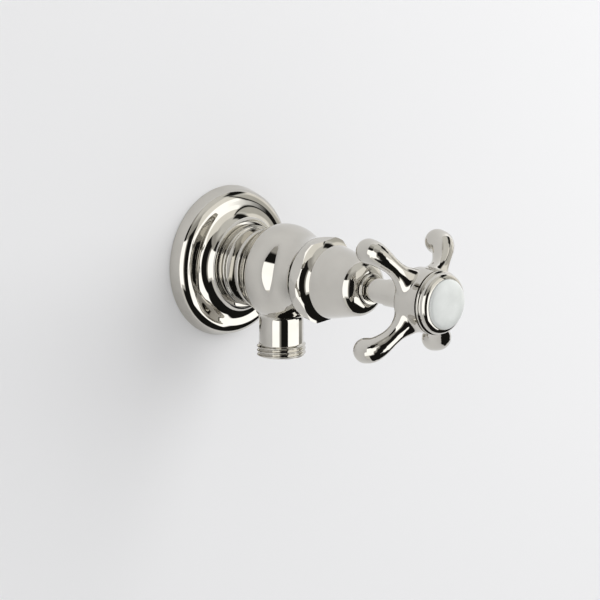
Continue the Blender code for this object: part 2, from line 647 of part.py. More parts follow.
def make_seals():
    seal_outer = CARTRIDGE_BORE_RADIUS - GAP
    rubber_ring("escutcheon_o_ring", FRICTION_OUT, SHANK_RADIUS + GAP, FRICTION_SECTION, AXIS, RUBBER)
    rubber_ring(
        "bonnet_o_ring",
        BONNET_BACK - SPIGOT_RING_BACK,
        FRONT_BORE_RADIUS - GAP - SPIGOT_SECTION,
        SPIGOT_SECTION,
        AXIS,
        RUBBER,
    )
    rubber_ring(
        "cartridge_o_ring",
        PILOT_RING_OUT,
        PILOT_RADIUS - CARTRIDGE_SECTION,
        CARTRIDGE_SECTION,
        AXIS,
        RUBBER,
    )
    outline = ring_outline(SEAT_OUT + GAP, FOOT_OUT + SEAL_DEPTH, seal_outer - SEAL_WALL, seal_outer)
    turned("seat_seal", outline, RUBBER, AXIS, SMALL_STEPS)


# Turning pieces


def make_moving_disc():
    """The disc that turns, with its ports a quarter turn away from the fixed ones: closed."""
    disc = make_disc("moving_disc", MOVING_DISC_BACK, 90, HANDLE)
    slot_size = (3 * HEAD_RADIUS, TONGUE_WIDTH + 2 * GAP, 2 * (TONGUE_HEIGHT + GAP))
    front = MOVING_DISC_BACK + DISC_THICKNESS
    boolean(disc, "DIFFERENCE", block("moving_disc_slot", slot_size, (0.0, 0.0, front), HANDLE))


def make_spindle():
    hole = SCREW_RADIUS + GAP
    hole_end = SCREW_HEAD_BACK - SCREW_LENGTH - SCREW_HOLE_SPARE
    ring_half = STEM_SECTION / 2 + GAP
    groove = SPINDLE_RADIUS - GAP - STEM_SECTION
    clip_groove = SPINDLE_RADIUS - 2 * GAP
    outline = [
        (SPINDLE_END, hole),
        (SPINDLE_END, SPINDLE_STEM_RADIUS),
        (GLAND_FRONT, SPINDLE_STEM_RADIUS),
        (GLAND_FRONT, SPINDLE_NECK_RADIUS),
        (CLIP_FRONT + 2 * GAP, SPINDLE_NECK_RADIUS),
        (CLIP_FRONT + GAP, clip_groove - GAP),
        (CLIP_BACK - GAP, clip_groove - GAP),
        (CLIP_BACK - GAP, SPINDLE_RADIUS),
    ]
    for ring_out in reversed(STEM_RING_OUTS):
        middle = SLIP_FRONT + ring_out
        outline += [
            (middle + ring_half, SPINDLE_RADIUS),
            (middle + ring_half, groove),
            (middle - ring_half, groove),
            (middle - ring_half, SPINDLE_RADIUS),
        ]
    outline += [
        (SLIP_BACK - GAP, SPINDLE_RADIUS),
        (SLIP_BACK - GAP, HEAD_RADIUS),
        (HEAD_BACK, HEAD_RADIUS),
        (HEAD_BACK, 0.0),
        (hole_end, 0.0),
        (hole_end, hole),
    ]
    spindle = turned("spindle", outline, BRASS, HANDLE, SMALL_STEPS)
    flat_depth = HEAD_RADIUS
    for side in (-1, 1):
        centre = (0.0, side * (HEAD_WIDTH + flat_depth) / 2, HEAD_BACK + HEAD_LENGTH / 2 - GAP)
        size = (3 * HEAD_RADIUS, flat_depth, HEAD_LENGTH)
        boolean(spindle, "DIFFERENCE", block(f"head_flat_{side + 1}", size, centre, HANDLE))
    tongue_size = (2 * (HEAD_RADIUS - TONGUE_INSET), TONGUE_WIDTH, 2 * TONGUE_HEIGHT)
    boolean(spindle, "UNION", block("head_tongue", tongue_size, (0.0, 0.0, HEAD_BACK), HANDLE))


def make_spindle_fittings():
    ring_inner = SPINDLE_RADIUS - STEM_SECTION
    for name, ring_out in zip(("spindle_o_ring_lower", "spindle_o_ring_upper"), STEM_RING_OUTS):
        rubber_ring(name, SLIP_FRONT + ring_out, ring_inner, STEM_SECTION, HANDLE, RUBBER)
    slip_inner = SPINDLE_RADIUS + GAP
    outline = ring_outline(SLIP_BACK, SLIP_FRONT, slip_inner, HEAD_RADIUS)
    turned("slip_washer", outline, PLASTIC, HANDLE, SMALL_STEPS)
    clip_inner = SPINDLE_RADIUS - 2 * GAP
    clip_outer = clip_inner + CLIP_WALL
    outline = ring_outline(CLIP_BACK, CLIP_FRONT, clip_inner, clip_outer)
    clip = turned("retaining_clip", outline, STEEL, HANDLE, SMALL_STEPS)
    size = (CLIP_OPENING, 2 * clip_outer, 3 * CLIP_THICKNESS)
    centre = (0.0, -clip_outer, (CLIP_BACK + CLIP_FRONT) / 2)
    boolean(clip, "DIFFERENCE", block("clip_opening", size, centre, HANDLE))


def make_stem_sleeve():
    edge = GAP
    outline = [
        (SLEEVE_FRONT, STEM_BORE),
        (SLEEVE_FRONT, SLEEVE_RADIUS - edge),
        (SLEEVE_FRONT - edge, SLEEVE_RADIUS),
        (SLEEVE_BACK + edge, SLEEVE_RADIUS),
        (SLEEVE_BACK, SLEEVE_RADIUS - edge),
        (SLEEVE_BACK, STEM_BORE),
    ]
    turned("stem_sleeve", outline, PLATE, HANDLE, SMALL_STEPS)


def make_cross_handle():
    flare_radius = HUB_RADIUS - HUB_BACK_ROUNDING
    outline = [
        (HUB_FRONT, STEM_BORE),
        (HUB_FRONT, HUB_RADIUS - HUB_FRONT_EDGE),
        (HUB_FRONT - HUB_FRONT_EDGE, HUB_RADIUS),
    ]
    outline += arc((HUB_BACK + HUB_BACK_ROUNDING, flare_radius), HUB_BACK_ROUNDING, 0, -90, 3)
    flare_steps = 5
    for step in range(1, flare_steps + 1):
        angle = pi / 2 * (1 - step / flare_steps)
        out = HANDLE_NECK_FRONT + HUB_BACK_DEPTH * sin(angle)
        radius = flare_radius - (flare_radius - HANDLE_NECK_RADIUS) * cos(angle)
        outline.append((out, radius))
    outline += [
        (HANDLE_BACK + GAP, HANDLE_NECK_RADIUS),
        (HANDLE_BACK, HANDLE_NECK_RADIUS - GAP),
        (HANDLE_BACK, STEM_BORE),
    ]
    handle = turned("cross_handle", outline, PLATE, HANDLE)
    for number in range(4):
        boolean(handle, "UNION", make_arm(f"arm_{number}", 45 + 90 * number + ARM_TURN))
    radius = RECESS_RADIUS
    top = HUB_FRONT + OVERRUN
    recess = prism("screw_recess", ROUND_STEPS, radius, radius, RECESS_FLOOR, top, HANDLE)
    boolean(handle, "DIFFERENCE", recess)


def arm_station(share):
    """The middle of an arm, as (distance from the axis, out), its half width and half depth."""
    last = len(ARM_STATIONS) - 1
    place = share * last
    number = min(int(place), last - 1)
    part = place - number
    before = ARM_STATIONS[max(number - 1, 0)]
    here = ARM_STATIONS[number]
    there = ARM_STATIONS[number + 1]
    after = ARM_STATIONS[min(number + 2, last)]
    values = []
    for a, b, c, d in zip(before, here, there, after):
        curve = (2 * a - 5 * b + 4 * c - d) * part**2 + (3 * b - a - 3 * c + d) * part**3
        values.append((2 * b + (c - a) * part + curve) / 2)
    return Vector((values[0], HUB_BACK + values[1])), values[2], values[3]


def make_arm(name, direction):
    """One lobe of the cross: a loft of round sections along a drooping line, with a round tip."""
    sections = [arm_station(step / ARM_STEPS) for step in range(ARM_STEPS + 1)]
    end, end_width, end_depth = sections[-1]
    heading = (end - arm_station(0.98)[0]).normalized()
    for step in range(1, ARM_TIP_STEPS + 1):
        angle = radians(ARM_TIP_ANGLE) * step / ARM_TIP_STEPS
        middle = end + heading * end_depth * sin(angle)
        sections.append((middle, end_width * cos(angle), end_depth * cos(angle)))
    away = Vector((cos(radians(direction)), sin(radians(direction)), 0.0))
    across = Vector((-away.y, away.x, 0.0))
    up = Vector((0.0, 0.0, 1.0))
    form = bmesh.new()
    rings = []
    for number, (middle, width, depth) in enumerate(sections):
        after = sections[min(number + 1, len(sections) - 1)][0]
        before = sections[max(number - 1, 0)][0]
        run = (after - before).normalized()
        normal = away * -run.y + up * run.x
        centre = away * middle.x + up * middle.y
        ring = []
        for side in range(ARM_SIDES):
            angle = 2 * pi * side / ARM_SIDES
            corner = centre + width * cos(angle) * across + depth * sin(angle) * normal
            ring.append(form.verts.new(corner))
        rings.append(ring)
    for lower, upper in zip(rings, rings[1:]):
        for side in range(ARM_SIDES):
            beside = (side + 1) % ARM_SIDES
            form.faces.new((lower[side], lower[beside], upper[beside], upper[side]))
    form.faces.new(rings[0])
    form.faces.new(rings[-1])
    bmesh.ops.recalc_face_normals(form, faces=form.faces)
    mesh = bpy.data.meshes.new(name)
    form.to_mesh(mesh)
    form.free()
    return add_object(name, mesh, None, HANDLE, cutter=True)


def make_screw():
    washer_bore = SCREW_RADIUS + GAP
    washer_front = SCREW_WASHER_BACK + SCREW_WASHER
    outline = ring_outline(SCREW_WASHER_BACK, washer_front, washer_bore, SCREW_WASHER_RADIUS)
    turned("screw_washer", outline, STEEL, HANDLE, SMALL_STEPS)
    head_front = SCREW_HEAD_BACK + SCREW_HEAD_HEIGHT
    outline = [
        (head_front, 0.0),
        (head_front, SCREW_HEAD_RADIUS / 2),
        (head_front - SCREW_HEAD_HEIGHT / 4, SCREW_HEAD_RADIUS - SCREW_HEAD_HEIGHT / 4),
        (SCREW_HEAD_BACK + SCREW_HEAD_HEIGHT / 4, SCREW_HEAD_RADIUS),
        (SCREW_HEAD_BACK, SCREW_HEAD_RADIUS),
        (SCREW_HEAD_BACK, SCREW_RADIUS),
        (SCREW_HEAD_BACK - SCREW_LENGTH, SCREW_RADIUS),
        (SCREW_HEAD_BACK - SCREW_LENGTH, 0.0),
    ]
    screw = turned("handle_screw", outline, STEEL, HANDLE, SMALL_STEPS, closed=False)
    size = (3 * SCREW_HEAD_RADIUS, SCREW_SLOT_WIDTH, SCREW_HEAD_HEIGHT)
    boolean(screw, "DIFFERENCE", block("screw_slot", size, (0.0, 0.0, head_front), HANDLE))


def make_button():
    recess = BUTTON_RADIUS + GAP
    spigot = RECESS_RADIUS - GAP
    spigot_bore = spigot - BEZEL_SPIGOT_WALL
    rim = recess + BEZEL_RIM
    bead_out = BEZEL_BACK + BEZEL_BEAD
    outline = [(BEZEL_FRONT, recess), (BEZEL_FRONT, rim)]
    outline += arc((BEZEL_FRONT - BEZEL_ROUNDING, rim), BEZEL_ROUNDING, 70, 15, 3)
    outline += [(bead_out + 1.5 * BEZEL_BEAD, BEZEL_WAIST_RADIUS)]
    outline += arc((bead_out, BEZEL_RADIUS - BEZEL_BEAD), BEZEL_BEAD, 60, -90, 4)
    outline += [
        (BEZEL_BACK, spigot),
        (BEZEL_BACK - BEZEL_SPIGOT_LENGTH, spigot),
        (BEZEL_BACK - BEZEL_SPIGOT_LENGTH, spigot_bore),
        (BUTTON_SEAT, spigot_bore),
        (BUTTON_SEAT, recess),
    ]
    turned("button_bezel", outline, PLATE, HANDLE)
    gasket_front = GASKET_BACK + GASKET_THICKNESS
    outline = ring_outline(GASKET_BACK, gasket_front, spigot_bore + GAP, BUTTON_RADIUS - GAP)
    turned("button_gasket", outline, RUBBER, HANDLE, SMALL_STEPS)
    outline = []
    dome_steps = 6
    for step in range(dome_steps + 1):
        angle = pi / 2 * step / dome_steps
        outline.append((BEZEL_FRONT + BUTTON_DOME * cos(angle), BUTTON_RADIUS * sin(angle)))
    outline += [(BUTTON_BACK, BUTTON_RADIUS), (BUTTON_BACK, 0.0)]
    turned("porcelain_button", outline, PORCELAIN, HANDLE, closed=False)


clear_scene()
PARTS = new_collection("angle_valve")
CUTTERS = new_collection("cutters")
PLATE = new_material("polished_nickel", (0.56, 0.54, 0.50), 1.0, 0.08)
BRASS = new_material("machined_brass", (0.60, 0.45, 0.20), 1.0, 0.30)
STEEL = new_material("stainless_steel", (0.45, 0.45, 0.44), 1.0, 0.30)
RUBBER = new_material("black_rubber", (0.02, 0.02, 0.02), 0.0, 0.60)
PLASTIC = new_material("white_acetal", (0.75, 0.75, 0.72), 0.0, 0.45)
CERAMIC = new_material("white_ceramic", (0.80, 0.79, 0.76), 0.0, 0.25)
PORCELAIN = new_material("glazed_porcelain", (0.82, 0.84, 0.83), 0.0, 0.06)
AXIS = new_empty("valve_axis", rotation=(pi / 2, 0.0, 0.0))
HANDLE = new_empty("handle_axis", rotation=(pi / 2, 0.0, 0.0))
OUTLET_AXIS = new_empty("outlet_axis", rotation=(pi, 0.0, 0.0))
OUTLET_AXIS.location = (0.0, -OUTLET_OUT, 0.0)

make_escutcheon()
make_valve_body()
make_bonnet()
make_cartridge_body()
make_disc("fixed_disc", FIXED_DISC_BACK, 0, AXIS)
make_gland_ring()
make_seals()
make_moving_disc()
make_spindle()
make_spindle_fittings()
make_stem_sleeve()
make_cross_handle()
make_screw()
make_button()
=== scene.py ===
"""Angle valve in polished nickel with a porcelain button: its looks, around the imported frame.

The wall is the plane y = 0 and the valve stands out of it along -Y, with +Z up.
Outlines are lists of (out, radius) points, where out is the distance from the wall.
"""

import json
from math import acos, asin, atan2, cos, degrees, hypot, pi, radians, sin, sqrt

import bmesh
import bpy
from mathutils import Matrix, Vector

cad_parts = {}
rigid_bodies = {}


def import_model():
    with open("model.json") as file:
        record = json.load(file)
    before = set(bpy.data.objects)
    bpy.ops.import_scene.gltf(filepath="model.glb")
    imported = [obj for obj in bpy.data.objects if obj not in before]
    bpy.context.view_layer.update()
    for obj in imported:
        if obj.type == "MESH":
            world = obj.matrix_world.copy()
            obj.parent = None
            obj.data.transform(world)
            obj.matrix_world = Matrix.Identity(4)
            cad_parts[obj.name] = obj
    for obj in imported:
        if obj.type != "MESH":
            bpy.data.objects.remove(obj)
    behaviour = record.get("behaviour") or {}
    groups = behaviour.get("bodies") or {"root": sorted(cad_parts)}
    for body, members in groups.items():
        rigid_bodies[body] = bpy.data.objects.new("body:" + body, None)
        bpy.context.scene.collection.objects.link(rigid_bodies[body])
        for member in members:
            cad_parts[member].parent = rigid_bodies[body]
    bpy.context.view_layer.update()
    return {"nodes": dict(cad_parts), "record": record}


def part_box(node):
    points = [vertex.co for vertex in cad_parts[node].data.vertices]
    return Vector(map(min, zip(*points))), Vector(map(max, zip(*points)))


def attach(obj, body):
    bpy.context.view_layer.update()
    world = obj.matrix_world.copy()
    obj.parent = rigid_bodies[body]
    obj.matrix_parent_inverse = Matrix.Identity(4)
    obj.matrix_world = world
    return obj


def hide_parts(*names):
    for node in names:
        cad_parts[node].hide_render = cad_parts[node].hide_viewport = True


bl_info = {
    "name": "Polished angle valve",
    "version": (1, 0, 0),
    "blender": (4, 5, 0),
    "location": "View3D > Sidebar > Angle valve",
    "description": "Builds the plated pieces, the porcelain button and the studio of an angle valve",
    "category": "Add Mesh",
}

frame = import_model()

MM = 0.001
GAP = 0.3 * MM  # clearance between pieces that rest on or turn in each other
ROUND = 160  # steps round a large turned piece
SMALL_ROUND = 96  # and round a small one or a bore
OUTLET_ROUND = 128
THREAD_ROUND = 144

# Escutcheon
FLANGE_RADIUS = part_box("escutcheon")[1].x
COLLAR_OUT = -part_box("escutcheon")[0].y
COLLAR_RADIUS = 18.7 * MM
COLLAR_EDGE = 0.4 * MM
ROUNDING = 5.0 * MM
ROUNDING_OUT = 2.85 * MM
RIM_TO_ROUNDING = 6.0 * MM
RING_FLAT = 1.4 * MM
FLANGE_WALL = 2.4 * MM
SHANK_RADIUS = 15.5 * MM
FRICTION_SECTION = 2.0 * MM
BOSS_WALL = 0.9 * MM
BOSS_BACK = 1.8 * MM
RIM_EDGE = 0.2 * MM  # the broken edge of the rim on the wall
RIM_EDGE_OUT = 0.25 * MM
RIM_EDGE_EASE = 0.06 * MM

# Neck and inlet
SHANK_BACK = 0.6 * MM
INLET_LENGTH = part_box("valve_body")[1].y
INLET_THREAD_RADIUS = 10.3 * MM
INLET_BORE_RADIUS = 6.8 * MM
NECK_RADIUS = 17.3 * MM
NECK_WAIST_DEPTH = 1.1 * MM
NECK_BACK = COLLAR_OUT + GAP
WAIST_BACK = NECK_BACK + 4.3 * MM
WAIST_FRONT = WAIST_BACK + 6.0 * MM
GROOVE_BACK = WAIST_FRONT + 2.4 * MM
SHOULDER_OUT = GROOVE_BACK + 2.2 * MM
RIDGE_ROUNDING = 0.6 * MM
INLET_RELIEF = 0.4 * MM  # plain part of the inlet in front of its thread
INLET_STEPS = 84  # along the thread
INLET_LEAD_IN = 1.2 * MM
JOINT_DEPTH = 1.4 * MM  # the fine slot where the neck meets the ball
JOINT_WIDTH = 0.5 * MM
SLIP = 0.02 * MM  # between the neck and the hole it stands in

# Ball, throat and outlet
BODY_RADIUS = 20.6 * MM
BODY_ROUNDING = 13.2 * MM  # radius of the outline of the ball towards the wall
BALL_ROUNDING = 16.2 * MM  # and towards the room
SHOULDER_RADIUS = 17.8 * MM
BALL_KNEE = 21.5  # lean, in degrees, at which the outline of the ball flattens into the slope of the throat
BALL_LEAN = 24.8  # lean half way down that slope
SLOPE_LENGTH = 5.8 * MM
THROAT_ROUNDING = 10.2 * MM
BODY_VOXEL = 0.32 * MM
BODY_EASING = 14  # rounds of smoothing
BODY_FRONT = -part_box("valve_body")[0].y
SEAM_RADIUS = 17.5 * MM  # where the throat meets the bonnet
CHAMBER_RADIUS = 14.6 * MM
CHAMBER_BACK = SHOULDER_OUT + 1.4 * MM
CHAMBER_FRONT = 44.69 * MM
PILOT_BORE_RADIUS = 10.5 * MM
FRONT_BORE_RADIUS = 13.4 * MM
FRONT_BORE_DEPTH = 9.0 * MM
OUTLET_OUT = 34.3 * MM
OUTLET_DROP = -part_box("valve_body")[0].z
OUTLET_RADIUS = 9.45 * MM
OUTLET_THREAD_RADIUS = 10.45 * MM
OUTLET_THREAD_LENGTH = 5.8 * MM
OUTLET_BORE_RADIUS = 7.0 * MM
OUTLET_FILLET = 2.6 * MM
OUTLET_ROOT_DEPTH = 3.0 * MM  # how far the pipe goes on inside the ball
OUTLET_STEPS = 64  # along the thread
OUTLET_LEAD_IN = 0.7 * MM
THREAD_ROOT = 0.9 * MM  # how far the end of the thread lies inside its crests
PIPE_MARGIN = 0.05 * MM  # left round the outlet where the ball is cut away beside it
THREAD_PITCH = 1.814 * MM  # fourteen turns to the inch, as on half-inch pipe
THREAD_DEPTH = 1.0 * MM
CREST_FULLNESS = 0.8  # under 1, the crests are broader than the troughs
THREAD_START = 0.863  # share of a turn that brings the outlet's crests over the CAD's rings

# Bonnet
SEAM_GAP = 0.08 * MM
BONNET_BACK = BODY_FRONT + GAP
HEX_FRONT = BONNET_BACK + 4.3 * MM
HEX_APOTHEM = 16.9 * MM
HEX_CORNER_RADIUS = 18.3 * MM
HEX_TURN = 5.8  # degrees
DISH_RADIUS = 7.2 * MM  # the hollow in the front of the hexagon
DISH_INNER = 30.0  # where the hollow starts and stops on its circle, in degrees
DISH_OUTER = 77.0
BELL_BASE_OUT = HEX_FRONT + 5.0 * MM
BELL_BASE_RADIUS = 15.4 * MM
BELL_LENGTH = 15.0 * MM
BELL_END_RADIUS = 12.1 * MM
BELL_DOME_RADIUS = 6.5 * MM
BELL_MOUTH_RADIUS = 6.2 * MM
BELL_LIP = 0.3 * MM
SPIGOT_RADIUS = FRONT_BORE_RADIUS - GAP
SPIGOT_END = BONNET_BACK - 6.8 * MM
SPIGOT_BORE_RADIUS = 8.9 * MM
BELL_WALL = 2.4 * MM
MOUTH_DEPTH = 3.2 * MM

# Gland ring, sleeve and handle
GLAND_FRONT = -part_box("gland_ring")[0].y
GLAND_BORE = 4.9 * MM
GLAND_FLANGE_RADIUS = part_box("gland_ring")[1].x
GLAND_FLANGE = 1.3 * MM
GLAND_DEPTH = 3.5 * MM
SLEEVE_FRONT = -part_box("stem_sleeve")[0].y
SLEEVE_BACK = -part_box("stem_sleeve")[1].y
SLEEVE_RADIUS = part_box("stem_sleeve")[1].x
STEM_BORE = 3.7 * MM
HANDLE_BACK = SLEEVE_FRONT + GAP
HANDLE_NECK_RADIUS = 5.6 * MM
HANDLE_NECK_FRONT = HANDLE_BACK + 9.5 * MM
HUB_BACK_DEPTH = 4.7 * MM
HUB_BACK = HANDLE_NECK_FRONT + HUB_BACK_DEPTH
HUB_RADIUS = 13.1 * MM
HUB_FRONT = -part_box("cross_handle")[0].y
HUB_BACK_ROUNDING = 1.6 * MM
RECESS_FLOOR = HUB_BACK + 3.5 * MM
RECESS_RADIUS = 9.6 * MM
HANDLE_VOXEL = 0.27 * MM
HANDLE_EASING = 10  # rounds of smoothing all over
ROOT_EASING = 90  # and at the roots of the lobes
ROOT_START = (10.5 * MM, 12.8 * MM)  # from the axis, where the easing rises
ROOT_STOP = (16 * MM, 20 * MM)  # and falls
ROOT_FRONT = (1.2 * MM, 2.6 * MM)  # behind the front of the hub, where it rises
ARM_TURN = -1.8  # degrees
ARM_STEPS = 18
ARM_TIP_STEPS = 8
ARM_SIDES = 40
ARM_TIP_TURN = 86.0  # how far round the tip the rings go, in degrees
ARM_HEADING_FROM = 0.98  # share of the arm from which its last heading is taken
ARM_STATIONS = (  # from the axis, forward of the back of the hub, half width, half depth
    (8.5 * MM, 4.4 * MM, 8.0 * MM, 6.0 * MM),
    (12.8 * MM, 3.5 * MM, 6.0 * MM, 4.7 * MM),
    (16.5 * MM, 2.4 * MM, 4.0 * MM, 3.9 * MM),
    (20.5 * MM, 1.0 * MM, 3.4 * MM, 4.0 * MM),
    (24.8 * MM, -1.2 * MM, 4.2 * MM, 4.7 * MM),
    (27.5 * MM, -3.8 * MM, 4.9 * MM, 5.2 * MM),
    (28.4 * MM, -6.7 * MM, 5.2 * MM, 5.2 * MM),
)

# Bezel and button
BEZEL_BACK = HUB_FRONT + GAP
BEZEL_FRONT = -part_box("button_bezel")[0].y
BEZEL_RADIUS = 13.1 * MM
BEZEL_BEAD = 0.75 * MM
BEZEL_WAIST_RADIUS = 12.4 * MM
RIM_SETBACK = 0.3 * MM  # the rim stands this far behind the widest edge of the porcelain
BEZEL_ROUNDING = 2.7 * MM
BEZEL_SPIGOT_LENGTH = 4.2 * MM
BUTTON_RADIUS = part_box("porcelain_button")[1].x
BUTTON_DOME = -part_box("porcelain_button")[0].y - BEZEL_FRONT
BUTTON_SEAT_DEPTH = 2.4 * MM
BUTTON_FULLNESS = 0.85  # under 1, the dome is fuller than an ellipse
BUTTON_INSET = 0.2 * MM  # the glazed edge lies this far inside the CAD's
BUTTON_BACK = -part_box("porcelain_button")[1].y

# What the metal mirrors: a grey room with white and cream screens and black flags round them.
# Turn is measured to the right of the camera's bearing and rise from the horizon, in degrees.
ROOM = (0.78, 0.775, 0.745)
DIM_ROOM = (0.42, 0.41, 0.385)
SHADED = (0.62, 0.61, 0.57)
WHITE = (1.75, 1.75, 1.74)
CREAM = (1.08, 1.06, 1.00)
BLACK = (0.012, 0.012, 0.011)
SCREENS = (  # turn from, to, rise from, to, half the soft edge, in degrees, and the colour
    (-22.0, 40.0, 26.0, 52.0, 8.0, DIM_ROOM),
    (-29.0, 190.0, -100.0, -34.0, 2.0, BLACK),
    (-4.0, 37.0, -100.0, 32.0, 1.5, BLACK),
    (-60.0, -18.0, 44.0, 74.0, 8.0, DIM_ROOM),
    (-60.0, -24.0, 20.0, 53.0, 2.5, BLACK),
    (86.0, 190.0, -100.0, -12.0, 1.0, BLACK),
    (86.0, 190.0, -13.0, 28.0, 2.0, SHADED),
    (86.0, 91.0, -14.0, 40.0, 0.8, BLACK),
    (114.0, 190.0, 2.0, 36.0, 3.0, CREAM),
    (92.0, 190.0, 36.0, 57.0, 3.0, BLACK),
    (-14.0, -1.0, -28.0, 29.0, 3.0, DIM_ROOM),
    (-70.0, -9.0, -28.5, 29.0, 1.2, WHITE),
    (-70.0, -37.0, -33.5, 0.0, 1.2, WHITE),
    (36.0, 87.6, 0.0, 46.0, 1.0, CREAM),
    (36.0, 87.6, -41.0, 13.0, 1.0, WHITE),
    (84.0, 105.0, -24.0, -12.2, 0.4, WHITE),
)

# The wall, and the lamp and plain fill light that only matt surfaces see
WALL_SIZE = 3.0
WALL_SETBACK = 0.05 * MM
LAMP_PLACE = Vector((1.0, -0.66, 0.64))
LAMP_SIZE = 1.6
LAMP_WATTS = 13.4
FILL_STRENGTH = 0.68

# The camera, fitted to the photograph
CAMERA_AZIMUTH = -44.352
CAMERA_ELEVATION = 11.959
CAMERA_DISTANCE = 1.031  # depth from the camera to the anchor
FOCAL_PIXELS = 2440.0
PHOTO_SIZE = 600
SENSOR = 36.0
ANCHOR = Vector((0.0, -0.0364, 0.0))
ANCHOR_PIXEL = (284.622, 271.825)


def arc(centre, radius, start, stop, steps):
    """Points round a centre, at 0 degrees outwards from the axis and at 90 towards the room."""
    points = []
    for step in range(steps + 1):
        angle = radians(start + (stop - start) * step / steps)
        points.append((centre[0] + radius * sin(angle), centre[1] + radius * cos(angle)))
    return points


def flowing(place, lean, bends):
    """Points along arcs that run into each other. A bend is its length, its last lean and its steps."""
    points = [place]
    for length, last, steps in bends:
        turn = (last - lean) / steps
        for _ in range(steps):
            slope = radians(lean + turn / 2)
            out, radius = points[-1]
            points.append((out + length / steps * cos(slope), radius - length / steps * sin(slope)))
            lean += turn
    return points


def linear(colour):
    """An sRGB hex colour as a linear RGBA value."""
    values = [int(colour[i : i + 2], 16) / 255 for i in (1, 3, 5)]
    return [v / 12.92 if v <= 0.04045 else ((v + 0.055) / 1.055) ** 2.4 for v in values] + [1.0]


# Materials


def add_node(tree, kind, settings=None, inputs=None):
    """A node with its settings, its values and its links from other nodes' outputs."""
    node = tree.nodes.new(kind)
    for key, value in (settings or {}).items():
        setattr(node, key, value)
    for key, value in (inputs or {}).items():
        if isinstance(value, bpy.types.NodeSocket):
            tree.links.new(value, node.inputs[key])
        else:
            node.inputs[key].default_value = value
    return node


def new_material(name, base, **values):
    """A Principled material with this sRGB base colour, and its node tree and shader."""
    material = bpy.data.materials.new(name)
    if material.name != name:
        raise RuntimeError(f"Another material is named {name} already")
    material.use_nodes = True
    tree = material.node_tree
    shader = tree.nodes["Principled BSDF"]
    shader.inputs["Base Color"].default_value = linear(base)
    for key, value in values.items():
        shader.inputs[key.replace("_", " ").title()].default_value = value
    return material, tree, shader


def mottled(tree, shader, first, second, size, roughness):
    """Colour and roughness that wander between two values over patches of this size."""
    coordinates = add_node(tree, "ShaderNodeTexCoord")
    noise = add_node(
        tree,
        "ShaderNodeTexNoise",
        inputs={"Vector": coordinates.outputs["Object"], "Scale": 1 / size, "Detail": 3.0},
    )
    shades = add_node(tree, "ShaderNodeValToRGB", inputs={"Fac": noise.outputs["Fac"]})
    for stop, position, colour in zip(shades.color_ramp.elements, (0.35, 0.65), (first, second)):
        stop.position = position
        stop.color = linear(colour)
    tree.links.new(shades.outputs["Color"], shader.inputs["Base Color"])
    spread = add_node(
        tree,
        "ShaderNodeMapRange",
        inputs={
            "Value": noise.outputs["Fac"],
            "From Min": 0.3,
            "From Max": 0.7,
            "To Min": roughness[0],
            "To Max": roughness[1],
        },
    )
    tree.links.new(spread.outputs["Result"], shader.inputs["Roughness"])
    return coordinates


def bumped(tree, shader, vector, size, depth, detail):
    """A fine relief of this size and depth, in metres."""
    inputs = {"Vector": vector, "Scale": 1 / size, "Detail": detail}
    height = add_node(tree, "ShaderNodeTexNoise", inputs=inputs)
    relief = add_node(
        tree,
        "ShaderNodeBump",
        inputs={"Height": height.outputs["Fac"], "Distance": depth, "Strength": 1.0},
    )
    tree.links.new(relief.outputs["Normal"], shader.inputs["Normal"])


def make_nickel(colour):
    """Nickel plate, buffed to a mirror: a warm grey metal with a trace of polishing haze."""
    material, tree, shader = new_material("polished_nickel_plate", colour, metallic=1.0)
    coordinates = mottled(tree, shader, colour, "#CFCCC5", 9 * MM, (0.012, 0.03))
    bumped(tree, shader, coordinates.outputs["Object"], 6 * MM, 0.004 * MM, 1.0)
    return material


def make_porcelain(colour):
    """Glazed porcelain: a cool white body under a clear glaze, a little rougher than a real one."""
    material, tree, shader = new_material(
        "clear_glazed_porcelain", colour, coat_weight=0.25, coat_roughness=0.12
    )
    coordinates = mottled(tree, shader, colour, "#E3E6E3", 5 * MM, (0.2, 0.26))
    bumped(tree, shader, coordinates.outputs["Object"], 3 * MM, 0.006 * MM, 1.0)
    return material


def make_brass():
    """Turned brass: yellow metal with fine tool rings round the axis of the valve."""
    material, tree, shader = new_material("turned_brass", "#C9AE74", metallic=1.0)
    coordinates = mottled(tree, shader, "#C2A56A", "#D2B981", 6 * MM, (0.22, 0.34))
    rings = add_node(tree, "ShaderNodeMapping", inputs={"Vector": coordinates.outputs["Object"]})
    rings.inputs["Scale"].default_value = (0.05, 1.0, 0.05)
    bumped(tree, shader, rings.outputs["Vector"], 0.4 * MM, 0.01 * MM, 2.0)
    return material


def make_steel():
    """Stainless steel: a duller grey metal with a light machined grain."""
    material, tree, shader = new_material("machined_stainless_steel", "#B0B0AE", metallic=1.0)
    coordinates = mottled(tree, shader, "#A9A9A7", "#BABAB8", 2 * MM, (0.25, 0.38))
    bumped(tree, shader, coordinates.outputs["Object"], 0.5 * MM, 0.01 * MM, 3.0)
    return material


def make_rubber():
    """Moulded nitrile rubber: near-black and matt, with a faint bloom."""
    material, tree, shader = new_material("nitrile_rubber", "#1B1B1C")
    coordinates = mottled(tree, shader, "#171718", "#242425", 1.5 * MM, (0.55, 0.75))
    bumped(tree, shader, coordinates.outputs["Object"], 0.3 * MM, 0.02 * MM, 4.0)
    return material


def make_acetal():
    """Acetal: a smooth, slightly waxy white plastic."""
    material, tree, shader = new_material("smooth_white_acetal", "#E2E2DE")
    coordinates = mottled(tree, shader, "#DEDEDA", "#E8E8E4", 2 * MM, (0.32, 0.45))
    bumped(tree, shader, coordinates.outputs["Object"], 0.5 * MM, 0.005 * MM, 2.0)
    return material


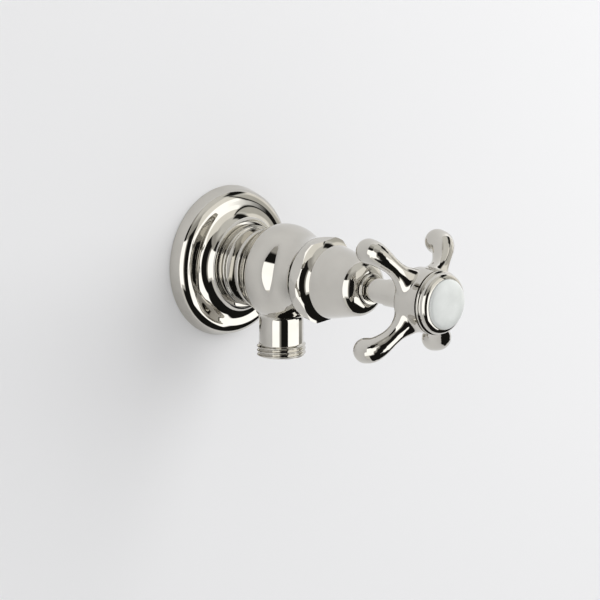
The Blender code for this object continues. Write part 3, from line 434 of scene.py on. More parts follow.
def make_alumina():
    """Lapped alumina: an off-white ceramic, ground flat, with a fine satin sheen."""
    material, tree, shader = new_material("lapped_alumina", "#E8E6E0")
    coordinates = mottled(tree, shader, "#E4E2DC", "#EEECE6", 1 * MM, (0.15, 0.28))
    bumped(tree, shader, coordinates.outputs["Object"], 0.2 * MM, 0.003 * MM, 3.0)
    return material


# Modelling


def deselect():
    bpy.ops.object.select_all(action="DESELECT")


def point(out, radius):
    """A point of an outline, in the frame, on the +X side of the valve's axis."""
    return Vector((radius, -out, 0.0))


def drawn(name, corners, closed):
    """A line drawn by extruding one vertex from corner to corner, left in edit mode."""
    deselect()
    bpy.ops.mesh.primitive_plane_add(size=MM, location=corners[0], enter_editmode=True)
    bpy.ops.mesh.merge(type="CENTER")
    for before, here in zip(corners, corners[1:]):
        bpy.ops.mesh.extrude_region_move(TRANSFORM_OT_translate={"value": here - before})
    piece = bpy.context.object
    piece.name = name
    piece.data.name = name
    if closed:
        bpy.ops.mesh.select_mode(type="VERT")
        bpy.ops.mesh.select_all(action="DESELECT")
        bpy.ops.object.mode_set(mode="OBJECT")
        piece.data.vertices[0].select = True
        piece.data.vertices[-1].select = True
        bpy.ops.object.mode_set(mode="EDIT")
        bpy.ops.mesh.edge_face_add()
    return piece


def turned(name, outline, steps=ROUND, closed=True, along="Y"):
    """A solid spun from an outline round the valve's axis, or round the outlet's for along="Z"."""
    if along == "Y":
        corners = [point(out, radius) for out, radius in outline]
        centre, axis = (0.0, 0.0, 0.0), (0.0, 1.0, 0.0)
    else:
        corners = [Vector((radius, -OUTLET_OUT, -drop)) for drop, radius in outline]
        centre, axis = (0.0, -OUTLET_OUT, 0.0), (0.0, 0.0, 1.0)
    piece = drawn(name, corners, closed)
    bpy.ops.mesh.select_all(action="SELECT")
    bpy.ops.mesh.spin(steps=steps, angle=2 * pi, center=centre, axis=axis, use_auto_merge=True)
    bpy.ops.mesh.select_all(action="SELECT")
    bpy.ops.mesh.remove_doubles(threshold=0.001 * MM)
    bpy.ops.mesh.normals_make_consistent(inside=False)
    bpy.ops.object.mode_set(mode="OBJECT")
    bpy.ops.object.transform_apply(location=True, rotation=True, scale=True)
    return piece


def select_only(*pieces):
    deselect()
    for piece in pieces:
        piece.select_set(True)
    bpy.context.view_layer.objects.active = pieces[0]


def joined(*pieces):
    select_only(*pieces)
    bpy.ops.object.join()
    return bpy.context.object


def fused(piece, voxel, rounds):
    """Makes overlapping shells one skin and eases it, which rounds the inner corners as in a casting."""
    select_only(piece)
    piece.data.remesh_voxel_size = voxel
    piece.data.use_remesh_fix_poles = True
    bpy.ops.object.voxel_remesh()
    ease = piece.modifiers.new("ease", "SMOOTH")
    ease.factor = 0.5
    ease.iterations = rounds
    bpy.ops.object.modifier_apply(modifier=ease.name)


def trimmed(piece, place, normal):
    """Cuts a piece off flat at a plane and closes the cut. What lies on the normal's side goes."""
    select_only(piece)
    bpy.ops.object.mode_set(mode="EDIT")
    bpy.ops.mesh.select_all(action="SELECT")
    bpy.ops.mesh.bisect(plane_co=place, plane_no=normal, use_fill=True, clear_outer=True)
    bpy.ops.object.mode_set(mode="OBJECT")


def cut(piece, tool):
    """Takes the shape of a tool out of a piece and throws the tool away."""
    select_only(piece)
    modifier = piece.modifiers.new("cut", "BOOLEAN")
    modifier.operation = "DIFFERENCE"
    modifier.solver = "EXACT"
    modifier.object = tool
    bpy.ops.object.modifier_apply(modifier=modifier.name)
    bpy.data.objects.remove(tool, do_unlink=True)
    if not piece.data.polygons:
        raise RuntimeError(f"The cut left nothing of {piece.name}")


def finished(piece, material, body, node, angle=28.0):
    """Smooth shading, the material, the body and the CAD node of a piece, which has to be closed."""
    skin = bmesh.new()
    skin.from_mesh(piece.data)
    closed = all(edge.is_manifold for edge in skin.edges)
    skin.free()
    if not closed:
        raise RuntimeError(f"The skin of {piece.name} is not closed")
    select_only(piece)
    bpy.ops.object.shade_smooth_by_angle(angle=radians(angle))
    piece.data.materials.clear()
    piece.data.materials.append(bpy.data.materials[material])
    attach(piece, body)
    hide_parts(node)


def plated(piece, body, node, angle=28.0):
    """A finished piece in nickel plate."""
    finished(piece, "polished_nickel_plate", body, node, angle)


def threaded(piece, along, span, crest, lead_in, depth):
    """Presses a rounded screw thread into the outer skin of a finely divided sleeve."""
    start, stop = span
    inner_limit = crest - 1.5 * depth
    for vertex in piece.data.vertices:
        if along == "Y":
            across, place = Vector((vertex.co.x, 0.0, vertex.co.z)), -vertex.co.y
        else:
            across, place = Vector((vertex.co.x, vertex.co.y + OUTLET_OUT, 0.0)), -vertex.co.z
        radius = across.length
        if radius < inner_limit or not start < place < stop:
            continue
        angle = atan2(across.z if along == "Y" else across.y, across.x)
        phase = place / THREAD_PITCH + angle / (2 * pi) + THREAD_START
        height = 0.5 + 0.5 * cos(2 * pi * phase)
        fade = min(1.0, (place - start) / lead_in, (stop - place) / lead_in)
        vertex.co -= across.normalized() * min(depth * (1 - height**CREST_FULLNESS * fade), depth)


def arm_station(share):
    """The middle of an arm, as distance from the axis and out, its half width and half depth."""
    last = len(ARM_STATIONS) - 1
    place = share * last
    number = min(int(place), last - 1)
    part = place - number
    before = ARM_STATIONS[max(number - 1, 0)]
    here = ARM_STATIONS[number]
    there = ARM_STATIONS[number + 1]
    after = ARM_STATIONS[min(number + 2, last)]
    values = []
    for a, b, c, d in zip(before, here, there, after):
        curve = (2 * a - 5 * b + 4 * c - d) * part**2 + (3 * b - a - 3 * c + d) * part**3
        values.append((2 * b + (c - a) * part + curve) / 2)
    return Vector((values[0], -HUB_BACK - values[1], 0.0)), values[2], values[3]


def arm_sections():
    """Middle, half width and half depth of every ring of an arm, from its root to its tip."""
    sections = [arm_station(step / ARM_STEPS) for step in range(ARM_STEPS + 1)]
    end, width, depth = sections[-1]
    heading = (end - arm_station(ARM_HEADING_FROM)[0]).normalized()
    for step in range(1, ARM_TIP_STEPS + 1):
        angle = radians(ARM_TIP_TURN) * step / ARM_TIP_STEPS
        sections.append((end + heading * depth * sin(angle), width * cos(angle), depth * cos(angle)))
    return sections


def make_arm(direction):
    """One lobe of the cross: a tube extruded ring by ring along a drooping line, with a round tip."""
    sections = arm_sections()
    deselect()
    bpy.ops.mesh.primitive_circle_add(
        vertices=ARM_SIDES, radius=MM, fill_type="NGON", rotation=(0.0, pi / 2, 0.0), enter_editmode=True
    )
    for _ in sections[1:]:
        bpy.ops.mesh.extrude_region_move(TRANSFORM_OT_translate={"value": (MM, 0.0, 0.0)})
    bpy.ops.object.mode_set(mode="OBJECT")
    arm = bpy.context.object
    bpy.ops.object.transform_apply(location=True, rotation=True, scale=True)
    for vertex in arm.data.vertices:
        number = round(vertex.co.x / MM)
        middle, width, depth = sections[number]
        after = sections[min(number + 1, len(sections) - 1)][0]
        before = sections[max(number - 1, 0)][0]
        run = (after - before).normalized()
        front = Vector((run.y, -run.x, 0.0))
        vertex.co = middle + front * depth * vertex.co.y / MM + Vector((0.0, 0.0, width * vertex.co.z / MM))
    arm.rotation_euler = (0.0, -radians(direction), 0.0)
    bpy.ops.object.transform_apply(location=True, rotation=True, scale=True)
    bpy.ops.object.mode_set(mode="EDIT")
    bpy.ops.mesh.select_all(action="SELECT")
    bpy.ops.mesh.normals_make_consistent(inside=False)
    bpy.ops.object.mode_set(mode="OBJECT")
    return arm


def ramp(value, low, high):
    """A share that rises smoothly from 0 at low to 1 at high."""
    share = min(1.0, max(0.0, (value - low) / (high - low)))
    return share**2 * (3 - 2 * share)


def eased_roots(handle):
    """Eases the corners between the lobes and the hub into the broad fillets of a casting."""
    roots = handle.vertex_groups.new(name="roots")
    for vertex in handle.data.vertices:
        radius = hypot(vertex.co.x, vertex.co.z)
        share = ramp(radius, *ROOT_START) * (1 - ramp(radius, *ROOT_STOP))
        share *= ramp(HUB_FRONT + vertex.co.y, *ROOT_FRONT)
        roots.add([vertex.index], share, "REPLACE")
    select_only(handle)
    ease = handle.modifiers.new("ease", "SMOOTH")
    ease.vertex_group = roots.name
    ease.factor = 0.5
    ease.iterations = ROOT_EASING
    bpy.ops.object.modifier_apply(modifier=ease.name)


def turned_copy(piece, turn):
    """A copy with its own mesh, turned about the valve's axis."""
    select_only(piece)
    bpy.ops.object.duplicate(linked=False)
    copy = bpy.context.object
    copy.rotation_euler = (0.0, -radians(turn), 0.0)
    bpy.ops.object.transform_apply(location=True, rotation=True, scale=True)
    return copy


class ValveColours(bpy.types.PropertyGroup):
    """The colours of the parts of the valve that show, as sRGB hex values"""

    nickel: bpy.props.StringProperty(
        name="Nickel", description="Base colour of the polished plating", default="#C9C6BF"
    )
    porcelain: bpy.props.StringProperty(
        name="Porcelain", description="Base colour of the glazed button", default="#DDE0DD"
    )
    wall: bpy.props.StringProperty(
        name="Wall", description="Colour of the wall behind the valve", default="#F1F1F2"
    )


def length(name, description, default):
    """A property that holds a length, in metres."""
    return bpy.props.FloatProperty(
        name=name,
        description=description,
        default=default,
        min=0.0,
        precision=5,
        subtype="DISTANCE",
        unit="LENGTH",
    )


class ValveSizes(bpy.types.PropertyGroup):
    """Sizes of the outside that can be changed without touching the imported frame"""

    ball_rounding: length("Ball", "Radius of the ball's outline towards the room", BALL_ROUNDING)
    throat_rounding: length("Throat", "Radius of the hollow in front of the ball", THROAT_ROUNDING)
    ridge_rounding: length("Ridges", "Rounding of the ridges on the neck", RIDGE_ROUNDING)
    joint_depth: length("Joint", "Depth of the slot between neck and ball", JOINT_DEPTH)
    seam_gap: length("Seam", "Gap between the body and the bonnet", SEAM_GAP)
    thread_depth: length("Thread", "Depth of the pipe threads", THREAD_DEPTH)
    bezel_rounding: length("Bezel", "Rounding of the front of the bezel", BEZEL_ROUNDING)
    rim_setback: length("Rim", "Distance of the rim behind the porcelain's edge", RIM_SETBACK)
    button_inset: length("Button", "How far the glazed edge lies inside its seat", BUTTON_INSET)


class VALVE_OT_materials(bpy.types.Operator):
    """Make the finishes, and give the hidden inner pieces theirs"""

    bl_idname = "valve.materials"
    bl_label = "Make the finishes"

    def execute(self, context):
        colours = context.scene.valve_colours
        make_nickel(colours.nickel)
        make_porcelain(colours.porcelain)
        inner = {
            "machined_brass": make_brass(),
            "stainless_steel": make_steel(),
            "black_rubber": make_rubber(),
            "white_acetal": make_acetal(),
            "white_ceramic": make_alumina(),
        }
        for part in frame["record"]["subparts"]:
            if part["material_slot"] in inner:
                node = frame["nodes"][part["node"]]
                node.data.materials.clear()
                node.data.materials.append(inner[part["material_slot"]])
        return {"FINISHED"}


class VALVE_OT_escutcheon(bpy.types.Operator):
    """Turn the wall escutcheon: a rounded rim, a flat ring and a cove up to the collar"""

    bl_idname = "valve.escutcheon"
    bl_label = "Escutcheon"

    def execute(self, context):
        ring_out = ROUNDING_OUT + ROUNDING
        rounding_radius = FLANGE_RADIUS - RIM_TO_ROUNDING
        cove_start = rounding_radius - RING_FLAT
        rise = COLLAR_OUT - COLLAR_EDGE - ring_out
        run = cove_start - COLLAR_RADIUS
        cove = (rise**2 + run**2) / (2 * rise)
        reach = hypot(RIM_TO_ROUNDING, ROUNDING_OUT)
        taper = degrees(acos(ROUNDING / reach) - atan2(ROUNDING_OUT, RIM_TO_ROUNDING))
        bore = SHANK_RADIUS + 2 * GAP
        groove = bore + FRICTION_SECTION
        floor = ring_out - FLANGE_WALL
        half = FRICTION_SECTION / 2 + GAP
        friction_out = BOSS_BACK + 2 * GAP + FRICTION_SECTION
        edge = COLLAR_EDGE
        outline = [(COLLAR_OUT, bore)]
        outline += arc((COLLAR_OUT - edge, COLLAR_RADIUS - edge), edge, 90, 20, 5)
        outline += arc((ring_out + cove, cove_start), cove, 180 + degrees(atan2(cove - rise, run)), 270, 28)
        outline += arc((ROUNDING_OUT, rounding_radius), ROUNDING, 90, taper, 28)
        outline += [
            (RIM_EDGE_OUT, FLANGE_RADIUS - RIM_EDGE_EASE),
            (0.0, FLANGE_RADIUS - RIM_EDGE),
            (0.0, FLANGE_RADIUS - FLANGE_WALL),
            (ROUNDING_OUT, rounding_radius + ROUNDING - FLANGE_WALL),
            (floor, rounding_radius),
            (floor, groove + BOSS_WALL),
            (BOSS_BACK, groove + BOSS_WALL),
            (BOSS_BACK, bore),
            (friction_out - half, bore),
            (friction_out - half, groove),
            (friction_out + half, groove),
            (friction_out + half, bore),
        ]
        piece = turned("wall_escutcheon", outline)
        plated(piece, "valve", "escutcheon")
        return {"FINISHED"}


class VALVE_OT_neck(bpy.types.Operator):
    """Turn the ridged neck, the shank and the threaded inlet of the body"""

    bl_idname = "valve.neck"
    bl_label = "Neck and inlet"

    def execute(self, context):
        sizes = context.scene.valve_sizes
        waist = NECK_RADIUS - NECK_WAIST_DEPTH
        soft = sizes.ridge_rounding
        slot = waist - sizes.joint_depth
        outline = [(CHAMBER_BACK, INLET_BORE_RADIUS), (CHAMBER_BACK, slot)]
        outline += [(SHOULDER_OUT - JOINT_WIDTH, slot), (SHOULDER_OUT - JOINT_WIDTH, waist)]
        outline += arc((GROOVE_BACK + soft, waist + soft / 2), soft, 250, 200, 4)
        outline += arc((GROOVE_BACK - soft, NECK_RADIUS - soft), soft, 80, 0, 6)
        outline += arc((WAIST_FRONT + soft, NECK_RADIUS - soft), soft, 0, -75, 6)
        outline += arc((WAIST_FRONT - soft, waist + soft), soft, 75, 180, 6)[1:]
        outline += arc((WAIST_BACK + soft, waist + soft), soft, 180, 285, 6)[:-1]
        outline += arc((WAIST_BACK - soft, NECK_RADIUS - soft), soft, 75, 0, 6)
        outline += arc((NECK_BACK + soft, NECK_RADIUS - soft), soft, 0, -90, 6)
        outline += [(NECK_BACK, SHANK_RADIUS), (SHANK_BACK, SHANK_RADIUS)]
        outline += [(SHANK_BACK, INLET_THREAD_RADIUS)]
        for step in range(1, INLET_STEPS + 1):
            outline.append((-step * INLET_LENGTH / INLET_STEPS, INLET_THREAD_RADIUS))
        outline += [(-INLET_LENGTH, INLET_BORE_RADIUS)]
        piece = turned("body_neck_and_inlet", outline, SMALL_ROUND)
        span = (-INLET_LENGTH - MM, -INLET_RELIEF)
        threaded(piece, "Y", span, INLET_THREAD_RADIUS, INLET_LEAD_IN, sizes.thread_depth)
        plated(piece, "valve", "valve_body", angle=35)
        return {"FINISHED"}


class VALVE_OT_ball(bpy.types.Operator):
    """Cast the ball and the outlet as one skin, then bore them"""

    bl_idname = "valve.ball"
    bl_label = "Ball and outlet"

    def execute(self, context):
        sizes = context.scene.valve_sizes
        from_axis = BODY_RADIUS - BODY_ROUNDING
        shoulder = degrees(acos((SHOULDER_RADIUS - from_axis) / BODY_ROUNDING))
        middle = SHOULDER_OUT + BODY_ROUNDING * sin(radians(shoulder))
        knee = radians(BALL_KNEE)
        bends = (
            (sizes.ball_rounding * knee, BALL_KNEE, 24),
            (SLOPE_LENGTH / 2, BALL_LEAN, 6),
            (SLOPE_LENGTH / 2, BALL_KNEE, 6),
            (sizes.throat_rounding * knee, 0.0, 14),
        )
        front = flowing((middle, BODY_RADIUS), 0.0, bends)
        run, rise = BODY_FRONT - front[-1][0], SEAM_RADIUS - front[-1][1]
        flare = 2 * atan2(rise, run)
        front += flowing(front[-1], 0.0, ((run * flare / sin(flare), -degrees(flare), 14),))[1:]
        spare = 1.5 * MM
        outline = [(BODY_FRONT + spare, 0.0), (BODY_FRONT + spare, SEAM_RADIUS + 0.35 * MM)]
        outline += reversed(front)
        outline += arc((middle, from_axis), BODY_ROUNDING, 0, -shoulder, 36)[1:]
        outline += [(SHOULDER_OUT - spare, SHOULDER_RADIUS - 1.0 * MM), (SHOULDER_OUT - spare, 0.0)]
        casting = turned("body_ball", outline, closed=False)

        fillet_radius = OUTLET_RADIUS + OUTLET_FILLET
        reach = BODY_RADIUS + OUTLET_FILLET
        drop = sqrt(reach**2 - fillet_radius**2)
        stop = 180 + degrees(asin(drop / reach))
        outline = [(OUTLET_DROP, 0.0), (OUTLET_DROP, OUTLET_RADIUS)]
        outline += arc((drop, fillet_radius), OUTLET_FILLET, 180, stop, 14)
        root = outline[-1]
        inside = root[0] - OUTLET_ROOT_DEPTH
        outline += [(inside, root[1]), (inside, 0.0)]
        outlet = turned("outlet", outline, OUTLET_ROUND, closed=False, along="Z")

        body = joined(casting, outlet)
        body.name = body.data.name = "body_ball_and_outlet"
        fused(body, BODY_VOXEL, BODY_EASING)
        trimmed(body, (0.0, -BODY_FRONT, 0.0), (0.0, -1.0, 0.0))
        cut(body, self.space_behind_ball(2 * spare))
        thread_top = OUTLET_DROP - OUTLET_THREAD_LENGTH
        trimmed(body, (0.0, 0.0, -thread_top), (0.0, 0.0, -1.0))

        bore_shoulder = BODY_FRONT - FRONT_BORE_DEPTH
        outline = [
            (BODY_FRONT + MM, 0.0),
            (BODY_FRONT + MM, FRONT_BORE_RADIUS),
            (bore_shoulder, FRONT_BORE_RADIUS),
            (bore_shoulder, PILOT_BORE_RADIUS),
            (CHAMBER_FRONT, PILOT_BORE_RADIUS),
            (CHAMBER_FRONT, CHAMBER_RADIUS),
            (CHAMBER_BACK, CHAMBER_RADIUS),
            (CHAMBER_BACK, waist_clearance(sizes)),
            (SHOULDER_OUT - MM, waist_clearance(sizes)),
            (SHOULDER_OUT - MM, 0.0),
        ]
        cut(body, turned("chamber", outline, SMALL_ROUND, closed=False))
        inner = sqrt(CHAMBER_RADIUS**2 - OUTLET_BORE_RADIUS**2) - MM
        outline = [
            (OUTLET_DROP + MM, 0.0),
            (OUTLET_DROP + MM, OUTLET_BORE_RADIUS),
            (inner, OUTLET_BORE_RADIUS),
            (inner, 0.0),
        ]
        cut(body, turned("outlet_bore", outline, SMALL_ROUND, closed=False, along="Z"))
        plated(body, "valve", "valve_body", angle=40)
        return {"FINISHED"}

    def space_behind_ball(self, depth):
        """The room behind the ball's shoulder, less the pipe of the outlet that passes through it."""
        radius = BODY_RADIUS + 2 * MM
        back = SHOULDER_OUT - depth
        outline = [(SHOULDER_OUT, 0.0), (SHOULDER_OUT, radius), (back, radius), (back, 0.0)]
        space = turned("space_behind_ball", outline, SMALL_ROUND, closed=False)
        radius = OUTLET_RADIUS + PIPE_MARGIN
        outline = [(OUTLET_DROP, 0.0), (OUTLET_DROP, radius)]
        outline += [(CHAMBER_RADIUS, radius), (CHAMBER_RADIUS, 0.0)]
        cut(space, turned("outlet_pipe", outline, SMALL_ROUND, closed=False, along="Z"))
        return space


def waist_clearance(sizes):
    """The radius of the hole in the back of the ball that the neck stands in."""
    return NECK_RADIUS - NECK_WAIST_DEPTH - sizes.joint_depth + SLIP


class VALVE_OT_outlet_thread(bpy.types.Operator):
    """Cut the pipe thread of the outlet"""

    bl_idname = "valve.outlet_thread"
    bl_label = "Outlet thread"

    def execute(self, context):
        top = OUTLET_DROP - OUTLET_THREAD_LENGTH
        bottom = OUTLET_DROP
        outline = [(bottom, OUTLET_BORE_RADIUS), (bottom, OUTLET_THREAD_RADIUS - THREAD_ROOT)]
        for step in range(OUTLET_STEPS + 1):
            drop = bottom - 0.1 * MM - (OUTLET_THREAD_LENGTH - 0.3 * MM) * step / OUTLET_STEPS
            outline.append((drop, OUTLET_THREAD_RADIUS))
        outline += [(top, OUTLET_RADIUS - 0.03 * MM), (top, OUTLET_BORE_RADIUS)]
        piece = turned("body_outlet_thread", outline, THREAD_ROUND, along="Z")
        span = (top + 0.1 * MM, bottom + 0.3 * MM)
        depth = context.scene.valve_sizes.thread_depth
        threaded(piece, "Z", span, OUTLET_THREAD_RADIUS, OUTLET_LEAD_IN, depth)
        plated(piece, "valve", "valve_body", angle=50)
        return {"FINISHED"}


class VALVE_OT_bonnet(bpy.types.Operator):
    """Turn the bonnet's bell and mill its six flats"""

    bl_idname = "valve.bonnet"
    bl_label = "Bonnet"

    def execute(self, context):
        seam = BODY_FRONT + context.scene.valve_sizes.seam_gap
        tilt = atan2(BELL_BASE_RADIUS - BELL_END_RADIUS, BELL_LENGTH)
        slope = radians(DISH_OUTER)
        dish = (HEX_FRONT + DISH_RADIUS * sin(slope), HEX_CORNER_RADIUS + DISH_RADIUS * cos(slope))
        end_out = BELL_BASE_OUT + BELL_LENGTH
        dome = (end_out - BELL_DOME_RADIUS * sin(tilt), BELL_END_RADIUS - BELL_DOME_RADIUS * cos(tilt))
        stop = acos(max(-1.0, min(1.0, (BELL_MOUTH_RADIUS + 2 * GAP - dome[1]) / BELL_DOME_RADIUS)))
        front = dome[0] + BELL_DOME_RADIUS * sin(stop)
        lean = degrees(tilt)
        outline = [(front, BELL_MOUTH_RADIUS)]
        outline += arc(dome, BELL_DOME_RADIUS, degrees(stop), lean, 36)
        lip = (BELL_BASE_OUT + BELL_LIP, BELL_BASE_RADIUS - BELL_LIP)
        outline += arc(lip, BELL_LIP, lean, -60, 6)
        outline += arc(dish, DISH_RADIUS, 180 + DISH_INNER, 180 + DISH_OUTER, 30)
        outline += [
            (HEX_FRONT - 0.15 * MM, HEX_CORNER_RADIUS),
            (seam + 0.05 * MM, SEAM_RADIUS),
            (seam, SEAM_RADIUS - 0.05 * MM),
            (seam, SPIGOT_RADIUS),
            (SPIGOT_END, SPIGOT_RADIUS),
            (SPIGOT_END, SPIGOT_BORE_RADIUS),
            (HEX_FRONT, SPIGOT_BORE_RADIUS),
            (BELL_BASE_OUT, BELL_BASE_RADIUS - BELL_WALL),
            (end_out, BELL_END_RADIUS - BELL_WALL),
            (front - MOUTH_DEPTH, BELL_MOUTH_RADIUS),
        ]
        bonnet = turned("bonnet_bell_and_hexagon", outline)
        taper = (SEAM_RADIUS - HEX_APOTHEM) / (HEX_FRONT - BONNET_BACK)
        margin = DISH_RADIUS / 2
        depth = HEX_FRONT - BONNET_BACK + 2 * margin
        place = (0.0, -(BONNET_BACK + HEX_FRONT) / 2, 0.0)
        deselect()
        bpy.ops.mesh.primitive_cylinder_add(
            vertices=64, radius=2 * SEAM_RADIUS, depth=depth, location=place, rotation=(pi / 2, 0.0, 0.0)
        )
        flats = bpy.context.object
        deselect()
        bpy.ops.mesh.primitive_cone_add(
            vertices=6,
            radius1=(SEAM_RADIUS + 2 * taper * margin) / cos(pi / 6),
            radius2=(HEX_APOTHEM - 2 * taper * margin) / cos(pi / 6),
            depth=depth + 2 * margin,
            location=place,
            rotation=(pi / 2, pi / 2 - radians(HEX_TURN), 0.0),
        )
        cut(flats, bpy.context.object)
        cut(bonnet, flats)
        plated(bonnet, "valve", "bonnet", angle=18)
        return {"FINISHED"}


class VALVE_OT_stem(bpy.types.Operator):
    """Turn the gland ring and the sleeve of the stem"""

    bl_idname = "valve.stem"
    bl_label = "Gland ring and sleeve"

    def execute(self, context):
        back = GLAND_FRONT - GLAND_FLANGE
        edge = GLAND_FLANGE / 3
        outline = [(GLAND_FRONT, GLAND_BORE)]
        outline += arc((GLAND_FRONT - edge, GLAND_FLANGE_RADIUS - edge), edge, 90, 0, 8)
        outline += [
            (back, GLAND_FLANGE_RADIUS),
            (back, BELL_MOUTH_RADIUS - GAP),
            (back - GLAND_DEPTH, BELL_MOUTH_RADIUS - GAP),
            (back - GLAND_DEPTH, GLAND_BORE),
        ]
        ring = turned("stem_gland_ring", outline, SMALL_ROUND)
        plated(ring, "valve", "gland_ring")
        outline = [(SLEEVE_FRONT, STEM_BORE)]
        outline += arc((SLEEVE_FRONT - 0.15 * MM, SLEEVE_RADIUS - 0.15 * MM), 0.15 * MM, 90, 0, 4)
        outline += arc((SLEEVE_BACK + 0.3 * MM, SLEEVE_RADIUS - 0.3 * MM), 0.3 * MM, 0, -90, 6)
        outline += [(SLEEVE_BACK, STEM_BORE)]
        sleeve = turned("plated_stem_sleeve", outline, SMALL_ROUND)
        plated(sleeve, "handle", "stem_sleeve")
        return {"FINISHED"}


class VALVE_OT_handle(bpy.types.Operator):
    """Cast the cross handle: the hub, its flared neck and four drooping lobes in one skin"""

    bl_idname = "valve.handle"
    bl_label = "Cross handle"

    def execute(self, context):
        spare = 1.5 * MM
        flare = HUB_RADIUS - HUB_BACK_ROUNDING
        outline = [(HUB_FRONT + spare, 0.0), (HUB_FRONT + spare, HUB_RADIUS)]
        outline += arc((HUB_BACK + HUB_BACK_ROUNDING, flare), HUB_BACK_ROUNDING, 0, -90, 10)
        for step in range(1, 21):
            angle = pi / 2 * (1 - step / 20)
            out = HANDLE_NECK_FRONT + HUB_BACK_DEPTH * sin(angle)
            outline.append((out, flare - (flare - HANDLE_NECK_RADIUS) * cos(angle)))
        outline += [(HANDLE_BACK - spare, HANDLE_NECK_RADIUS), (HANDLE_BACK - spare, 0.0)]
        hub = turned("hub", outline, closed=False)
        arms = [make_arm(45 + ARM_TURN)]
        for number in range(1, 4):
            arms.append(turned_copy(arms[0], 90 * number))
        handle = joined(hub, *arms)
        handle.name = handle.data.name = "cross_handle_casting"
        fused(handle, HANDLE_VOXEL, HANDLE_EASING)
        eased_roots(handle)
        trimmed(handle, (0.0, -HUB_FRONT, 0.0), (0.0, -1.0, 0.0))
        trimmed(handle, (0.0, -HANDLE_BACK, 0.0), (0.0, 1.0, 0.0))
        outline = [
            (HUB_FRONT + MM, 0.0),
            (HUB_FRONT + MM, RECESS_RADIUS),
            (RECESS_FLOOR, RECESS_RADIUS),
            (RECESS_FLOOR, STEM_BORE),
            (HANDLE_BACK - MM, STEM_BORE),
            (HANDLE_BACK - MM, 0.0),
        ]
        cut(handle, turned("hub_bore", outline, SMALL_ROUND, closed=False))
        plated(handle, "handle", "cross_handle", angle=40)
        return {"FINISHED"}


class VALVE_OT_button(bpy.types.Operator):
    """Turn the bezel and mould the porcelain button"""

    bl_idname = "valve.button"
    bl_label = "Bezel and button"

    def execute(self, context):
        sizes = context.scene.valve_sizes
        edge = BUTTON_RADIUS - sizes.button_inset
        recess = edge + GAP / 2
        spigot = RECESS_RADIUS - GAP
        spigot_bore = spigot - 1.6 * MM
        bead_out = BEZEL_BACK + BEZEL_BEAD
        seat = BEZEL_FRONT - BUTTON_SEAT_DEPTH
        front = BEZEL_FRONT - sizes.rim_setback
        rounding = sizes.bezel_rounding
        corner = BEZEL_WAIST_RADIUS - rounding
        stop = acos((recess + 0.1 * MM - corner) / rounding)
        outline = [(front - 0.1 * MM, recess)]
        outline += arc((front - rounding * sin(stop), corner), rounding, degrees(stop), 0, 24)
        outline += [(bead_out + 1.5 * BEZEL_BEAD, BEZEL_WAIST_RADIUS)]
        outline += arc((bead_out, BEZEL_RADIUS - BEZEL_BEAD), BEZEL_BEAD, 60, -90, 18)
        outline += [
            (BEZEL_BACK, spigot),
            (BEZEL_BACK - BEZEL_SPIGOT_LENGTH, spigot),
            (BEZEL_BACK - BEZEL_SPIGOT_LENGTH, spigot_bore),
            (seat, spigot_bore),
            (seat, recess),
        ]
        bezel = turned("turned_button_bezel", outline)
        plated(bezel, "handle", "button_bezel")
        outline = []
        steps = 48
        for step in range(steps + 1):
            angle = pi / 2 * step / steps
            outline.append((BEZEL_FRONT + BUTTON_DOME * cos(angle) ** BUTTON_FULLNESS, edge * sin(angle)))
        outline += [(BUTTON_BACK, edge), (BUTTON_BACK, 0.0)]
        button = turned("glazed_button", outline, closed=False)
        glaze = "clear_glazed_porcelain"
        finished(button, glaze, "handle", "porcelain_button")
        return {"FINISHED"}


